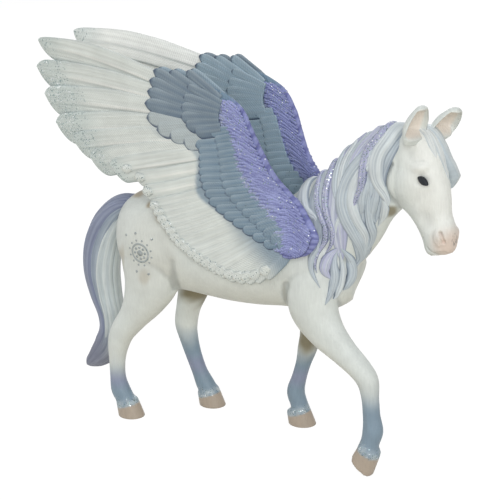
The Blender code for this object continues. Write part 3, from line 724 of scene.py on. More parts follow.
# Darker along the grooves of the nostrils and the mouth line.
for line in both(NOSTRIL):
    paint = mix(paint, DARK_OLIVE, 0.7 * ramp(0.7, 0.2, near_path(face, line, 16)))
for line in both(MOUTH):
    paint = mix(paint, DARK_OLIVE, 0.75 * ramp(0.8, 0.3, near_path(face, line, 16)))
chipped = ramp(2.4, 1.4, np.linalg.norm(face - CHIPPED_NOSE, axis=1))
scuff = ramp(0.25, 0.5, wander(co, 0.35, 11)) * chipped
paint = mix(paint, CHIP, 0.75 * scuff)
gleam = np.maximum(0.45 * ramp(10, 6.5, co[:, 2]), 0.75 * fringe) * (1 - horn)
print("laid", len(PAINTED_SHADOWS_AND_PATCHES), "spots of painted shadow and brown, and chips on", int((scuff > 0.5).sum()), "points")


# %% [markdown]
# ## Attributes on a piece
# Each finished piece carries three attributes: its paint, how much glitter lies on it, and for hair
# and feathers the place across and along the strand in millimetres, which the bump of barbs and
# hairs reads. A last step makes the object ride on the frame's body.

# %% Finish a piece
pieces = []


def attribute(mesh, name, kind, field, values):
    made = mesh.attributes.new(name, kind, "POINT")
    made.data.foreach_set(field, np.asarray(values, np.float32).ravel())


def finish_piece(made, paint, gleam, strand=None, stands_for=()):
    """Gives a piece its attributes, smooth shading, body and replaced nodes."""
    mesh = made.data
    count = len(mesh.vertices)
    colour = np.ones((count, 4))
    colour[:, :3] = np.clip(paint, 0, 1)
    attribute(mesh, "paint", "FLOAT_COLOR", "color", colour)
    attribute(mesh, "gleam", "FLOAT", "value", np.broadcast_to(gleam, count))
    attribute(mesh, "strand", "FLOAT_VECTOR", "vector", np.zeros((count, 3)) if strand is None else strand)
    mesh.shade_smooth()
    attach(made, "root")
    if stands_for:
        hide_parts(*stands_for)
    pieces.append(made)
    triangles = sum(len(p.vertices) - 2 for p in mesh.polygons)
    print(f"{made.name}: {triangles} triangles")
    return made


finish_piece(body, paint, gleam, stands_for=("horse",))

# %% [markdown]
# ## Laying hair on the skin
# The mane and the forelock are broad locks: low domes, pointed at the end and scored with hairs,
# that lie on the neck and over each other. A particle system would make loose hair, which a
# moulded toy doesn't have, so each lock is a blank that is laid on the skin point by point. A tree
# of the body's faces answers where the skin is.

# %% A tree of the body's skin
def tree_of(mesh):
    bm = bmesh.new()
    bm.from_mesh(mesh)
    made = BVHTree.FromBMesh(bm)
    bm.free()
    return made


skin = tree_of(body.data)


def on_skin(co):
    """The nearest places on the skin, and the skin's normals there, for points in the table frame."""
    found = np.empty_like(co)
    normal = np.empty_like(co)
    for i, p in enumerate((co + TABLE_SHIFT) * MM):
        place, facing, _, _ = skin.find_nearest(Vector(p))
        found[i] = place
        normal[i] = facing
    return found / MM - TABLE_SHIFT, normal


CLEAR_OF_HORSE = -60.0


def near_side(tree, x, z):
    """The y at which a tree of faces is met from the near side, level with (x, z)."""
    start = Vector((np.array([x, CLEAR_OF_HORSE, z]) + TABLE_SHIFT) * MM)
    met = tree.ray_cast(start, Vector((0.0, 1.0, 0.0)))[0]
    return met.y / MM - TABLE_SHIFT[1] if met is not None else None


print("the flank at the shoulder lies at y =", round(near_side(skin, 25, 60), 2), "mm")

# %% A lock of hair
HAIR_LINE = 0.9
SCORE_DEPTH = 0.11
LOCK_AROUND, LOCK_ALONG = 36, 72


def lock(path, width, height, tint, lift=(0.0,), point=0.4, root=0.5):
    """A broad smooth lock, pointed at its end, laid on the skin along a path and scored with hairs."""
    mesh, a, s = blank(LOCK_AROUND, LOCK_ALONG)
    line, up = on_skin(curve(np.array(path, float), np.linspace(0, 1, LOCK_ALONG + 1)))
    for _ in range(4):
        up[1:-1] = (up[:-2] + up[1:-1] + up[2:]) / 3
        line[1:-1] = (line[:-2] + line[1:-1] + line[2:]) / 3
    up = unit(up)
    aside = unit(np.cross(unit(np.gradient(line, axis=0)), up))
    length = np.concatenate([[0], np.cumsum(np.linalg.norm(np.diff(line, axis=0), axis=1))])
    k = np.clip(np.rint(s * LOCK_ALONG).astype(int), 0, LOCK_ALONG)
    across, crown = np.cos(a), np.sin(a)
    taper = np.minimum(1, root + 2.2 * s) * np.clip((1 - s) / point, 0, 1) ** 0.75
    half = np.maximum(width / 2 * taper, 0.08)
    score = np.zeros(len(s))
    for turns in (width / HAIR_LINE, 1.7 * width / HAIR_LINE):
        drift = rng.uniform(-1.5, 1.5)
        score += np.cos(math.pi * turns * across + drift * 3 * s + rng.uniform(0, 6.28)) / 2
    edge = np.clip(1 - np.abs(across) ** 3, 0, 1)
    scored = SCORE_DEPTH * score * edge * np.minimum(1, 3 * taper)
    dome = height * taper * (0.25 + 0.75 * edge) + scored
    off = np.interp(s, np.linspace(0, 1, len(lift)), lift)
    rise = np.where(crown > 0, off + dome * np.abs(crown) ** 0.3, np.minimum(off - 1.2, -0.4))
    co = line[k] + aside[k] * (half * across)[:, None] + up[k] * rise[:, None]
    base, light, dark = tint
    # Painted highlight on the ridges of the hairs and across the middle of the lock, painted shade in the
    # grooves, and a dark line of painted shadow along both edges, where locks lie on each other.
    colour = mix(np.tile(base, (len(s), 1)), light, 0.55 * ramp(0.1, 0.8, score) + 0.25 * edge)
    colour = mix(colour, dark, 0.45 * ramp(0.0, -0.9, score))
    colour = mix(colour, dark, 0.9 * ramp(0.8, 0.98, np.abs(across)))
    return put(mesh, co), colour, np.stack([across * half, length[k], np.zeros(len(a))], axis=1)


# %% [markdown]
# ## The mane
# The mane is some twenty-five broad, smooth locks that fall to the horse's right in long S-curves.
# They lie over each other like leaves, with a dark line of painted shadow where they meet, and
# three of them carry silver glitter on violet. Their paths are written as places in the
# photograph, and five plain locks are laid first, so that no skin shows between the others.

# %% The mane's locks
HAIR_LOCK = (HAIR, HAIR_PALE, HAIR_DARK)
LILAC_LOCK = (LILAC, HAIR_PALE, HAIR_DARK)
PALE_HAIR_LOCK = (HAIR_PALE, linear("#dee5e8"), HAIR_DARK)
GLITTER_LOCK = (linear("#9fa3c4"), linear("#c9cde0"), linear("#767ba0"))
UNDER_MANE = [
    ([(352, 148), (332, 166), (322, 186), (318, 206), (322, 226), (316, 246), (314, 262)],
     7.0, HAIR_LOCK),
    ([(372, 140), (352, 158), (342, 178), (340, 200), (338, 222), (340, 244), (342, 262)],
     8.0, LILAC_LOCK),
    ([(392, 132), (372, 150), (360, 172), (356, 196), (358, 218), (364, 240)], 8.0, HAIR_LOCK),
    ([(402, 130), (386, 148), (376, 170), (374, 190), (376, 208), (372, 228)], 7.0, HAIR_LOCK),
    ([(350, 204), (352, 222), (362, 240), (362, 256), (356, 268)], 6.0, HAIR_LOCK),
]
# For each lock: its path in the photograph, width, height and tint
MANE = [
    ([(331, 160), (317, 173), (307, 186), (303, 199), (306, 211), (316, 218), (317, 228)],
     4.6, 1.25, PALE_HAIR_LOCK),
    ([(303, 208), (306, 222), (314, 233), (318, 247), (312, 258), (312, 272), (320, 288)],
     2.6, 1.0, HAIR_LOCK),
    ([(341, 153), (328, 168), (320, 184), (318, 200), (321, 214), (326, 228), (325, 241), (318, 252),
      (315, 264), (317, 273)], 2.0, 1.15, GLITTER_LOCK),
    ([(345, 152), (333, 170), (327, 188), (326, 205), (329, 220), (333, 232), (331, 245), (325, 254)],
     2.6, 1.3, GLITTER_LOCK),
    ([(348, 152), (338, 172), (336, 190), (340, 206), (342, 214)], 2.4, 1.2, HAIR_LOCK),
    ([(357, 146), (346, 163), (342, 182), (342, 200), (343, 212), (337, 224), (336, 236)],
     3.0, 1.1, PALE_HAIR_LOCK),
    ([(367, 140), (354, 155), (347, 172), (345, 190), (342, 206), (347, 220), (353, 238), (358, 252),
      (356, 264)], 2.8, 1.25, HAIR_LOCK),
    ([(376, 135), (362, 148), (353, 163), (349, 178), (350, 194)], 3.2, 1.15, LILAC_LOCK),
    ([(371, 152), (355, 168), (346, 184), (342, 200), (345, 216), (353, 232), (360, 246), (361, 258),
      (355, 268)], 4.2, 1.45, HAIR_LOCK),
    ([(374, 158), (361, 172), (354, 188), (352, 204), (357, 220), (365, 234), (366, 246), (370, 254)],
     4.0, 1.3, PALE_HAIR_LOCK),
    ([(386, 131), (373, 141), (363, 153), (354, 166)], 3.2, 1.2, LILAC_LOCK),
    ([(399, 127), (387, 133), (377, 142), (370, 152), (366, 163), (364, 176), (362, 188), (357, 198),
      (355, 207), (361, 217)], 2.8, 2.1, GLITTER_LOCK),
    ([(370, 172), (366, 186), (363, 198), (362, 208), (361, 216)], 3.2, 1.3, HAIR_LOCK),
    ([(373, 178), (370, 194), (369, 208), (370, 222), (373, 234), (369, 246), (362, 252)],
     2.6, 1.2, HAIR_LOCK),
    ([(376, 180), (377, 192), (374, 204), (372, 214), (376, 223)], 2.8, 1.1, HAIR_LOCK),
    ([(382, 196), (385, 206), (383, 216), (378, 226)], 2.6, 1.0, PALE_HAIR_LOCK),
    ([(402, 128), (390, 139), (381, 151), (377, 163), (377, 176), (381, 188), (387, 200), (388, 206)],
     5.4, 1.6, PALE_HAIR_LOCK),
    ([(338, 248), (328, 258), (325, 270), (331, 279)], 3.4, 1.1, LILAC_LOCK),
    ([(337, 250), (334, 264), (335, 278), (331, 292), (325, 305)], 3.0, 1.35, HAIR_LOCK),
    ([(341, 248), (350, 258), (352, 272), (348, 284), (343, 290)], 3.4, 1.2, HAIR_LOCK),
    ([(340, 252), (342, 268), (341, 282), (336, 294), (333, 299)], 2.2, 1.45, PALE_HAIR_LOCK),
]
# A lock that starts above this row of the photograph comes over the crest, by these steps
CREST_ROW = 165
CREST = [(0.8, 3.2, 1.0), (1.8, 6.6, -1.4)]


def over_crest(seen):
    """A path that is seen from its crest on, continued over the crest to the far side."""
    back = [seen[0] + np.array(step) for step in CREST[::-1]]
    return np.vstack([back, seen])


# %% [markdown]
# ### Bundles
# A piece such as the mane is many closed shells that lie on each other and never need to be one
# skin. A bundle collects their meshes, paints and strands, and joins them in the order in which
# they were laid. The ears are bundled first: their thin rims would be lost in the body's voxels.

# %% Bundles
class Bundle:
    """Collects strands or feathers until they become one piece."""

    def __init__(self):
        self.meshes, self.paints, self.strands, self.gleams = [], [], [], []

    def add(self, mesh, paint, strand, gleam=0.0):
        self.meshes.append(mesh)
        self.paints.append(paint)
        self.strands.append(strand)
        self.gleams.append(np.broadcast_to(gleam, len(paint)))

    def piece(self, name, slot, stands_for=()):
        made = join(name, self.meshes)
        bm = bmesh.new()
        bm.from_mesh(made.data)
        bmesh.ops.recalc_face_normals(bm, faces=bm.faces)
        bm.to_mesh(made.data)
        bm.free()
        return finish_piece(
            made, np.concatenate(self.paints), np.concatenate(self.gleams),
            np.concatenate(self.strands), stands_for,
        )


# %% The ears
RUBBED_EAR = (1.6, 1.2, 10.4)

ears = Bundle()
for name in EARS:
    mesh, inside = ear(name)
    colour = mix(np.tile(PEARL, (len(inside), 1)), EAR_PINK, 0.9 * inside)
    if name == "far":
        place = carried(table_points(mesh), (HEAD_PLACE @ ear_place(name)).inverted())
        rub = ramp(2.2, 0.8, np.linalg.norm(place - RUBBED_EAR, axis=1))
        colour = mix(colour, CHIP, 0.5 * rub * ramp(-0.2, 0.5, wander(place, 0.5, 4)))
    ears.add(mesh, colour, np.zeros((len(inside), 3)))
ears.piece("ears", "painted_horse")

# %% Lay the mane
mane = Bundle()
for path, width, tint in UNDER_MANE:
    mane.add(*lock(over_crest(met_by_sight(skin, path)), width, 0.7, tint, point=0.3))
for i, (path, width, height, tint) in enumerate(MANE):
    route, root = met_by_sight(skin, path), 0.15
    if path[0][1] < CREST_ROW:
        route, root = over_crest(route), 0.5
    laid = lock(route, width, height, tint, lift=(0.1 + 0.1 * (i % 3),), root=root)
    mane.add(*laid, gleam=0.75 if tint is GLITTER_LOCK else 0.0)
mane.piece("mane", "painted_horse")

# %% [markdown]
# ## The forelock and the tail
# The forelock falls between the ears and swells over the forehead on the far side. The tail is a
# handful of broad locks that run round its core from the dock to the brush with a slow twist,
# violet outside and pale within, each scored with finer hairs.

# %% The forelock
FORELOCK_TINT = (linear("#dfe5e7"), linear("#eaeeee"), linear("#c5cfd5"))
LOBE_TINT = (linear("#d0dadf"), linear("#e2e8ea"), linear("#b6c2ca"))
# For each lock: its path in the head's frame, width, height, lift along the way and tint
FORELOCK = [
    ([(-3.0, 0.3, 0.2), (1.0, 0.4, 0.6), (3.8, 0.6, -2.8), (5.0, 0.8, -6.8), (5.8, 1.0, -11.2),
      (6.2, 1.2, -15.4)], 3.6, 0.45, (0.1,), FORELOCK_TINT),
    ([(-3.0, -0.6, 0.2), (0.6, -1.2, 0.4), (3.2, -1.8, -2.8), (4.6, -2.0, -6.0), (5.2, -2.0, -8.6)],
     2.4, 0.3, (0.05,), FORELOCK_TINT),
    ([(-3.0, 1.6, 0.2), (1.0, 2.0, 0.2), (3.4, 2.8, -3.2), (4.4, 3.4, -7.4), (5.2, 3.6, -11.6),
      (5.6, 3.6, -15.8), (5.4, 3.5, -18.4)], 4.8, 1.1, (0.0, 0.0, 0.0, 0.6, 2.2, 0.4), LOBE_TINT),
    ([(-3.0, 2.4, 0.2), (0.4, 3.6, -0.6), (2.2, 5.2, -4.4), (2.6, 6.4, -9.0), (3.2, 6.8, -13.4),
      (3.8, 6.4, -17.4)], 3.4, 0.5, (0.0,), LOBE_TINT),
]

forelock = Bundle()
for path, width, height, lift, tint in FORELOCK:
    path = carried(curve(np.array(path), np.linspace(0, 1, 12)), HEAD_PLACE)
    forelock.add(*lock(path, width, height, tint, lift, point=0.35))
forelock.piece("forelock", "painted_horse")

# %% A lock of the tail
TAIL_LENGTH = 90


def tail_lock(around, turnover, start, end, width, height, tint, ridges):
    """A broad lock round the tail's core, scored with ridges, from one share of its length on."""
    mesh, a, s = blank(10 + 12 * ridges, 90)
    t = start + (end - start) * s
    row, side, front = sections(TAIL_ROWS, t)
    across = np.cos(a)
    taper = np.minimum(1, 0.4 + 3 * s) * np.clip((1 - s) / 0.3, 0, 1) ** 0.6
    half = np.maximum(width / 2 * taper, 0.1)
    girth = np.maximum((row[:, 3] + row[:, 4]) / 2, 1.0)
    angle = math.radians(around) + math.radians(turnover) * t + across * half / girth
    ridge = 0.5 + 0.3 * np.cos(ridges * math.pi * across + rng.uniform(0, 6.28) + 1.5 * s)
    ridge += 0.2 * np.cos(2.3 * ridges * math.pi * across + rng.uniform(0, 6.28) - 2.0 * s)
    dome = np.clip(1 - np.abs(across) ** 2.6, 0, 1)
    top = height * (0.25 + 0.75 * dome) * taper - 0.2 * (1 - ridge) * dome
    level = np.where(np.sin(a) > 0, top * np.abs(np.sin(a)) ** 0.35, -1.2) - TAIL_COVER * 0.75
    deep = np.maximum(row[:, 3] + level, 0.1) * np.cos(angle)
    wide = np.maximum(row[:, 4] + level, 0.1) * np.sin(angle)
    co = row[:, :3] + deep[:, None] * front + wide[:, None] * side
    base, light, dark = tint
    # Painted highlight on the ridges, painted shade in the grooves and a dark line of painted shadow along
    # both edges.
    colour = mix(np.tile(base, (len(s), 1)), light, 0.6 * ridge * dome)
    colour = mix(colour, dark, np.clip(0.5 * (1 - ridge) + 0.7 * ramp(0.8, 1.0, np.abs(across)), 0, 1))
    colour = mix(colour, TAIL_END_VIOLET, 0.9 * ramp(0.62, 0.82, t))
    strand = np.stack([across * half, t * TAIL_LENGTH, np.zeros(len(a))], axis=1)
    return put(mesh, co), colour, strand


# %% The tail
VIOLET_LOCK = (linear("#828ba6"), linear("#a3acc0"), linear("#656c88"))
BLUE_TAIL_LOCK = (linear("#98a5b4"), linear("#b6c0ca"), linear("#707c92"))
PALE_TAIL_LOCK = (linear("#cad4d6"), linear("#e0e6e6"), linear("#a3afba"))
# For each lock: its place around the core in degrees, width, height and tint
TAIL_LOCKS = [
    (352, 7.4, 1.0, VIOLET_LOCK), (40, 6.4, 1.2, VIOLET_LOCK), (84, 6.6, 0.9, BLUE_TAIL_LOCK),
    (128, 5.8, 1.25, PALE_TAIL_LOCK), (168, 6.8, 1.0, PALE_TAIL_LOCK), (208, 6.2, 1.5, PALE_TAIL_LOCK),
    (248, 6.4, 1.1, BLUE_TAIL_LOCK), (282, 6.4, 1.4, VIOLET_LOCK), (318, 6.0, 1.1, VIOLET_LOCK),
]
THIN_LOCKS = [
    (18, VIOLET_LOCK), (62, BLUE_TAIL_LOCK), (226, PALE_TAIL_LOCK), (262, VIOLET_LOCK), (300, VIOLET_LOCK),
]
TWIST, THIN_TWIST = 40, 64

tail = Bundle()
for around, width, height, tint in TAIL_LOCKS:
    start, end = 0.02 + rng.uniform(0, 0.04), 0.9 + 0.1 * rng.random()
    tail.add(*tail_lock(around, TWIST, start, end, width, height, tint, 3))
for around, tint in THIN_LOCKS:
    start, end = 0.08 + rng.uniform(0, 0.1), 0.75 + 0.2 * rng.random()
    tail.add(*tail_lock(around, THIN_TWIST, start, end, 2.4, 1.4, tint, 1))
tail.piece("tail_hair", "painted_horse")

# %% [markdown]
# ## The eyes
# The eyes are small black almonds, flush in their sockets. A sphere flattened along the look
# of the eye and pinched at both corners makes one, and a mirror image makes the other.

# %% The eyes
EYE_HALF_SIZES = (2.05, 0.9, 1.08, 1.0)
EYE_PINCH = 0.45
EYE_OUT = 5.35
EYE_TILT, EYE_TURN = 34, 7

eyes = []
for name, side in (("right_eye", -1), ("left_eye", 1)):
    bm = bmesh.new()
    bmesh.ops.create_uvsphere(bm, u_segments=40, v_segments=24, radius=1.0)
    for vert in bm.verts:
        vert.co.z *= 1 - EYE_PINCH * abs(vert.co.x) ** 2
    tilt = Matrix.Rotation(math.radians(EYE_TILT), 4, "Y")
    turned = Matrix.Rotation(math.radians(EYE_TURN * side), 4, "Z")
    centre = Matrix.Translation((EYE[0], side * EYE_OUT, EYE[2]))
    bm.transform(HEAD_PLACE @ centre @ turned @ tilt @ Matrix.Diagonal(EYE_HALF_SIZES))
    bmesh.ops.recalc_face_normals(bm, faces=bm.faces)
    mesh = bpy.data.meshes.new(name)
    bm.to_mesh(mesh)
    bm.free()
    put(mesh, points(mesh))
    made = bpy.data.objects.new(name, mesh)
    bpy.context.scene.collection.objects.link(made)
    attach(made, "root")
    mesh.shade_smooth()
    eyes.append(made)
print("eyes:", [made.name for made in eyes])

# %% [markdown]
# ## The wings
# A wing is a thin curved sheet that stands clear of the horse, with feathers on both of its faces.
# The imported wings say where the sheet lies: its distance from the middle plane depends on the
# place along the wing, and near the body it is held just clear of the horse. That distance is
# worked out once on a grid, and each feather reads it there.

# %% The wing's sheet
WING_ROOT_Y, WING_WRIST_Y, WING_TIP_Y = 15.0, 12.5, 8.5
WRIST_HEIGHT, WING_ROOT_HEIGHT = 115.0, 55.0
WING_TIP_START, WING_TIP_END = -25.0, -70.0
WING_CLEARANCE = 0.5
LEADING_EDGE_TURN_IN = 4.0
EDGE_X, EDGE_Z, EDGE_LEAN = 13.0, 98.0, 0.42
TURN_IN_REACH, TURN_IN_TOP, TURN_IN_FADE = 13.0, 104.0, 18.0
SHEET_HALF = 0.8
GRID_STEP = 1.0

bm = bmesh.new()
bm.from_mesh(bpy.data.objects["horse"].data)
bmesh.ops.remove_doubles(bm, verts=bm.verts, dist=1e-6)
horse_tree = BVHTree.FromBMesh(bm)
bm.free()
grid_x = np.arange(-76.0, 32.0, GRID_STEP)
grid_z = np.arange(52.0, 134.0, GRID_STEP)
held = np.zeros((len(grid_x), len(grid_z)))
for i, x in enumerate(grid_x):
    for j, z in enumerate(grid_z):
        met = near_side(horse_tree, x, z)
        if met is not None:
            held[i, j] = -met + WING_CLEARANCE + SHEET_HALF
wide = held.copy()
for dx in (-1, 0, 1):
    for dz in (-1, 0, 1):
        wide = np.maximum(wide, np.roll(np.roll(held, dx, 0), dz, 1))
held = wide
up = np.clip((grid_z[None, :] - WING_ROOT_HEIGHT) / (WRIST_HEIGHT - WING_ROOT_HEIGHT), 0, 1)
far = np.clip((WING_TIP_START - grid_x[:, None]) / (WING_TIP_START - WING_TIP_END), 0, 1)
rest = WING_ROOT_Y + (WING_WRIST_Y - WING_ROOT_Y) * up + (WING_TIP_Y - WING_WRIST_Y) * far
edge = EDGE_X + EDGE_LEAN * (EDGE_Z - grid_z[None, :])
close = np.clip((grid_x[:, None] - edge + TURN_IN_REACH) / TURN_IN_REACH, 0, 1)
low = np.clip((TURN_IN_TOP - grid_z[None, :]) / TURN_IN_FADE, 0, 1)
sheet = np.maximum(rest - LEADING_EDGE_TURN_IN * close**2 * low, held)
for _ in range(2):
    around = sheet[1:-1, 1:-1] * 2 + sheet[:-2, 1:-1] + sheet[2:, 1:-1]
    sheet[1:-1, 1:-1] = (around + sheet[1:-1, :-2] + sheet[1:-1, 2:]) / 6


def wing_y(x, z):
    """How far from the middle plane the sheet lies, read off the grid."""
    u = np.clip((x - grid_x[0]) / GRID_STEP, 0, len(grid_x) - 1.001)
    v = np.clip((z - grid_z[0]) / GRID_STEP, 0, len(grid_z) - 1.001)
    i, j = u.astype(int), v.astype(int)
    fu, fv = u - i, v - j
    low = sheet[i, j] * (1 - fu) + sheet[i + 1, j] * fu
    high = sheet[i, j + 1] * (1 - fu) + sheet[i + 1, j + 1] * fu
    return low * (1 - fv) + high * fv


print("the sheet lies from", round(sheet.min(), 1), "to", round(sheet.max(), 1), "mm out from the middle")

# %% A feather
SHAFT_HALF_WIDTH = 0.38


def feather(root, tip, width, thick, lift, cuts, bend=0.0, shingle=0.3, corner=0.0,
            slant=0.12, rounding=0.08, shaft=0.12, neck=0.6, crown=0.2):
    """One feather on the sheet. Its tip lies the share corner of its half width above its middle."""
    mesh, a, s = blank(*cuts)
    root, tip = np.array(root, float), np.array(tip, float)
    way = tip - root
    side = np.array([way[1], -way[0]]) / np.hypot(*way)
    side = side if side[1] > 0 else -side
    way = way - side * corner * width
    length = np.hypot(*way)
    s = 1 - (1 - s) ** 1.5
    across = np.cos(a)
    low = (1 + corner) * (1 - np.clip((s - 1 + slant) / slant, 0, 1) ** 1.8) ** 0.7 - corner
    high = (1 - corner) * (1 - np.clip((s - 1 + rounding) / rounding, 0, 1) ** 2.4) ** 0.6 + corner
    half = np.maximum(width * np.minimum(neck + (1.4 - neck) * s, 1.0) * (high + low) / 2, 0.04)
    middle = bend * 6.75 * s**2 * (1 - s) + width * (high - low) / 2
    flat = root + way * s[:, None] + side * (middle + half * across)[:, None]
    off = width * (high - low) / 2 + half * across
    swelling = crown * (1 - across**2) + shaft * np.exp(-((off / SHAFT_HALF_WIDTH) ** 2)) * (1 - s**4)
    thin = thick / 2 * (1 - 0.35 * s) * np.abs(np.sin(a)) ** 0.5
    level = np.where(np.sin(a) > 0, thin + swelling, -thin - 0.5 * swelling)
    y = wing_y(flat[:, 0], flat[:, 1]) + lift + level + shingle * off / width
    co = np.stack([flat[:, 0], -y, flat[:, 1]], axis=1)
    values = np.stack([off / width, s, across, np.sin(a) < 0], axis=1)
    strand = np.stack([off, s * length, np.full(len(a), length)], axis=1)
    return put(mesh, co), values, strand


FIRST_GUESS = 13.0


def wing_place(px, py):
    """The place along and up the near wing's outer face that is seen at a place in the photograph."""
    start = np.array(camera.location) / MM - TABLE_SHIFT
    way = np.array(sight(px, py))
    out = FIRST_GUESS
    for _ in range(4):
        spot = start + way * ((-out - start[1]) / way[1])
        out = float(wing_y(spot[:1], spot[2:])[0]) + SHEET_HALF
    return spot[0], spot[2]


def mirrored(mesh):
    """The same mesh on the other side of the middle plane, in the table frame."""
    other = mesh.copy()
    co = table_points(other) * np.array([1, -1, 1])
    return put(other, co)


# %% [markdown]
# ### The flight feathers
# Seven long primaries spread from the wrist, and twenty-one secondaries follow down to the root,
# each with a small petal at its tip. Their white fades to slate where the coverts lie on them, and
# their tips carry silver glitter.

# %% Flight feathers
# For each primary: root, tip, half width, how far it bends and where its glitter starts
PRIMARIES = [
    ((-4, 112.2), (-68.5, 126.6), 4.4, 2.1, 0.86), ((-4, 109.4), (-70.2, 118.1), 5.0, 1.4, 0.74),
    ((-4, 106.8), (-67.7, 109.6), 5.3, 1.0, 0.72), ((-3, 103.5), (-63.6, 100.8), 5.3, 0.8, 0.7),
    ((-2, 101.0), (-56.5, 95.8), 4.9, 0.6, 0.74), ((-1, 98.5), (-49.8, 90.8), 4.7, 0.4, 0.78),
    ((0, 96.0), (-41.6, 89.2), 4.4, 0.2, 0.82),
]
# For each secondary: root and tip
SECONDARIES = [
    ((4, 97.5), (-36.6, 88.2)), ((6, 94.5), (-31.6, 86.0)), ((8, 91.5), (-28.8, 81.8)),
    ((10, 88.5), (-26.2, 77.6)), ((11, 87.2), (-24.8, 75.6)), ((12, 86), (-23.6, 73.6)),
    ((13, 84.8), (-22.2, 71.8)), ((14, 83.5), (-20.6, 70.0)), ((15, 82.3), (-19.2, 68.2)),
    ((16, 81), (-17.4, 66.6)), ((17, 79.8), (-15.4, 65.3)), ((18, 78.5), (-13.2, 64.0)),
    ((19, 77.2), (-10.8, 62.8)), ((19.5, 76), (-8.2, 61.6)), ((20, 75), (-5.6, 60.6)),
    ((20.5, 74), (-2.8, 59.6)), ((21, 73), (0.2, 58.8)), ((21, 72), (3.2, 58.5)),
    ((21, 71.2), (6.2, 58.7)), ((21, 70.5), (9.2, 59.4)), ((21, 69), (12.8, 61.2)),
]
COVERT_EDGE = [
    (-24.5, 118.5), (-26.0, 109.0), (-22.6, 101.3), (-13.4, 99.4), (-7.5, 94.6), (-8.2, 84.6), (-2.0, 79.9),
    (3.3, 77.3), (13.1, 71.7), (22.0, 64.0),
]


def behind_coverts(co):
    """How far behind the edge of the coverts a point of the wing lies, in millimetres."""
    line = curve(np.array(COVERT_EDGE), np.linspace(0, 1, 60))
    flat = co[:, (0, 2)]
    gap = np.full(len(co), 1e9)
    sign = np.ones(len(co))
    for start, end in zip(line, line[1:]):
        way = end - start
        t = np.clip((flat - start) @ way / max(way @ way, 1e-9), 0, 1)
        off = flat - start - t[:, None] * way
        d = np.linalg.norm(off, axis=1)
        better = d < gap
        turn = way[0] * off[:, 1] - way[1] * off[:, 0]
        sign = np.where(better, np.where(turn < 0, 1.0, -1.0), sign)
        gap = np.minimum(gap, d)
    return gap * sign


def flight_paint(co, values, rim):
    off, s, across, inner = values.T
    # Painted highlight: the inner face is whiter than the outer one, against its shade. Painted shade: each
    # feather greys towards its edges, and a dark line runs beside its pale shaft and along its lower edge.
    base = mix(np.tile(FEATHER_WHITE, (len(s), 1)), HIGHLIGHT_WHITE, inner)
    base = mix(base, FEATHER_GREY, (0.5 - 0.3 * inner) * ramp(0.6, 1.0, np.abs(off)))
    base = mix(base, SHAFT_WHITE, 0.7 * np.exp(-((off / 0.08) ** 2)) * (1 - s**4))
    base = mix(base, FEATHER_SHADE, 0.8 * np.exp(-(((off + 0.12) / 0.06) ** 2)) * (1 - s**4))
    base = mix(base, FEATHER_SHADE, 0.85 * ramp(-0.84, -0.96, across))
    depth = behind_coverts(co)
    fade_length = 1.5 + 8 * ramp(80, 66, co[:, 2])
    veil = ramp(1, 0, np.clip(depth / fade_length, 0, 1)) * ramp(108, 88, co[:, 2])
    base = mix(base, SLATE, 0.8 * veil)
    # A thin dark line along the edges of each feather near its tip.
    return mix(base, DARK_OLIVE, rim * ramp(0.93, 1.0, np.abs(across)) * ramp(0.9, 0.97, s))


def specks(co, amount):
    """Glitter that lies in drifts."""
    return np.clip(amount * (0.75 + 0.55 * wander(co, 1.6, 8)), 0, 1)


# %% Lay the flight feathers
FLIGHT_THICKNESS = 1.1
PETAL_LENGTH = 3.8

flight = Bundle()
for i, (root, tip, width, bend, reach) in enumerate(PRIMARIES):
    mesh, values, strand = feather(
        root, tip, width, FLIGHT_THICKNESS, 0.0, (40, 90), bend,
        shingle=0.65, corner=0.55, slant=0.13, shaft=0.2)
    co = table_points(mesh)
    along = values[:, 1] + 0.03 * wander(co, 4.0, 9)
    glitter = specks(co, ramp(reach, reach + 0.16, along) * (0.4 if i == 0 else 0.68))
    ground = 0.5 * ramp(reach - 0.05, reach + 0.16, along)
    flight.add(mesh, mix(flight_paint(co, values, 0.25), GLITTER_GROUND, ground), strand, glitter)
for root, tip in SECONDARIES:
    mesh, values, strand = feather(
        root, tip, 2.6, FLIGHT_THICKNESS, 0.0, (24, 60), -0.3,
        shingle=0.45, corner=0.1, slant=0.05, rounding=0.05, shaft=0.06, neck=0.8)
    co = table_points(mesh)
    glitter = specks(co, ramp(0.9, 0.96, values[:, 1]) * 0.4)
    flight.add(mesh, flight_paint(co, values, 0.55), strand, glitter)
    way = np.array(tip) - root
    petal = np.array(tip) - way * (PETAL_LENGTH / np.hypot(*way))
    mesh, values, strand = feather(
        petal, tip, 1.8, 1.9, 0.0, (20, 20), slant=0.35, rounding=0.35, shaft=0.0, crown=0.4)
    # Brown at the tip of each petal, and painted shade along its sides.
    rim = mix(np.tile(FEATHER_WHITE, (len(values), 1)), WARM_BROWN, 0.6 * ramp(0.88, 1.0, values[:, 1]))
    rim = mix(rim, FEATHER_SHADE, 0.85 * ramp(0.7, 0.95, np.abs(values[:, 2])))
    flight.add(mesh, rim, strand, 0.3)
print("laid", len(PRIMARIES), "primaries and", len(SECONDARIES), "secondaries")

# %% [markdown]
# ### The coverts
# Short slate feathers cover the roots of the long ones in rows: fingers at the wrist, and three
# rows of rounded lobes down to the root. Each has a dark lower edge and tip, a painted shadow
# where it steps down to the next, and a paler back. They are placed as they are seen in the
# photograph, from root to tip, and the same rows lie on the inner face.

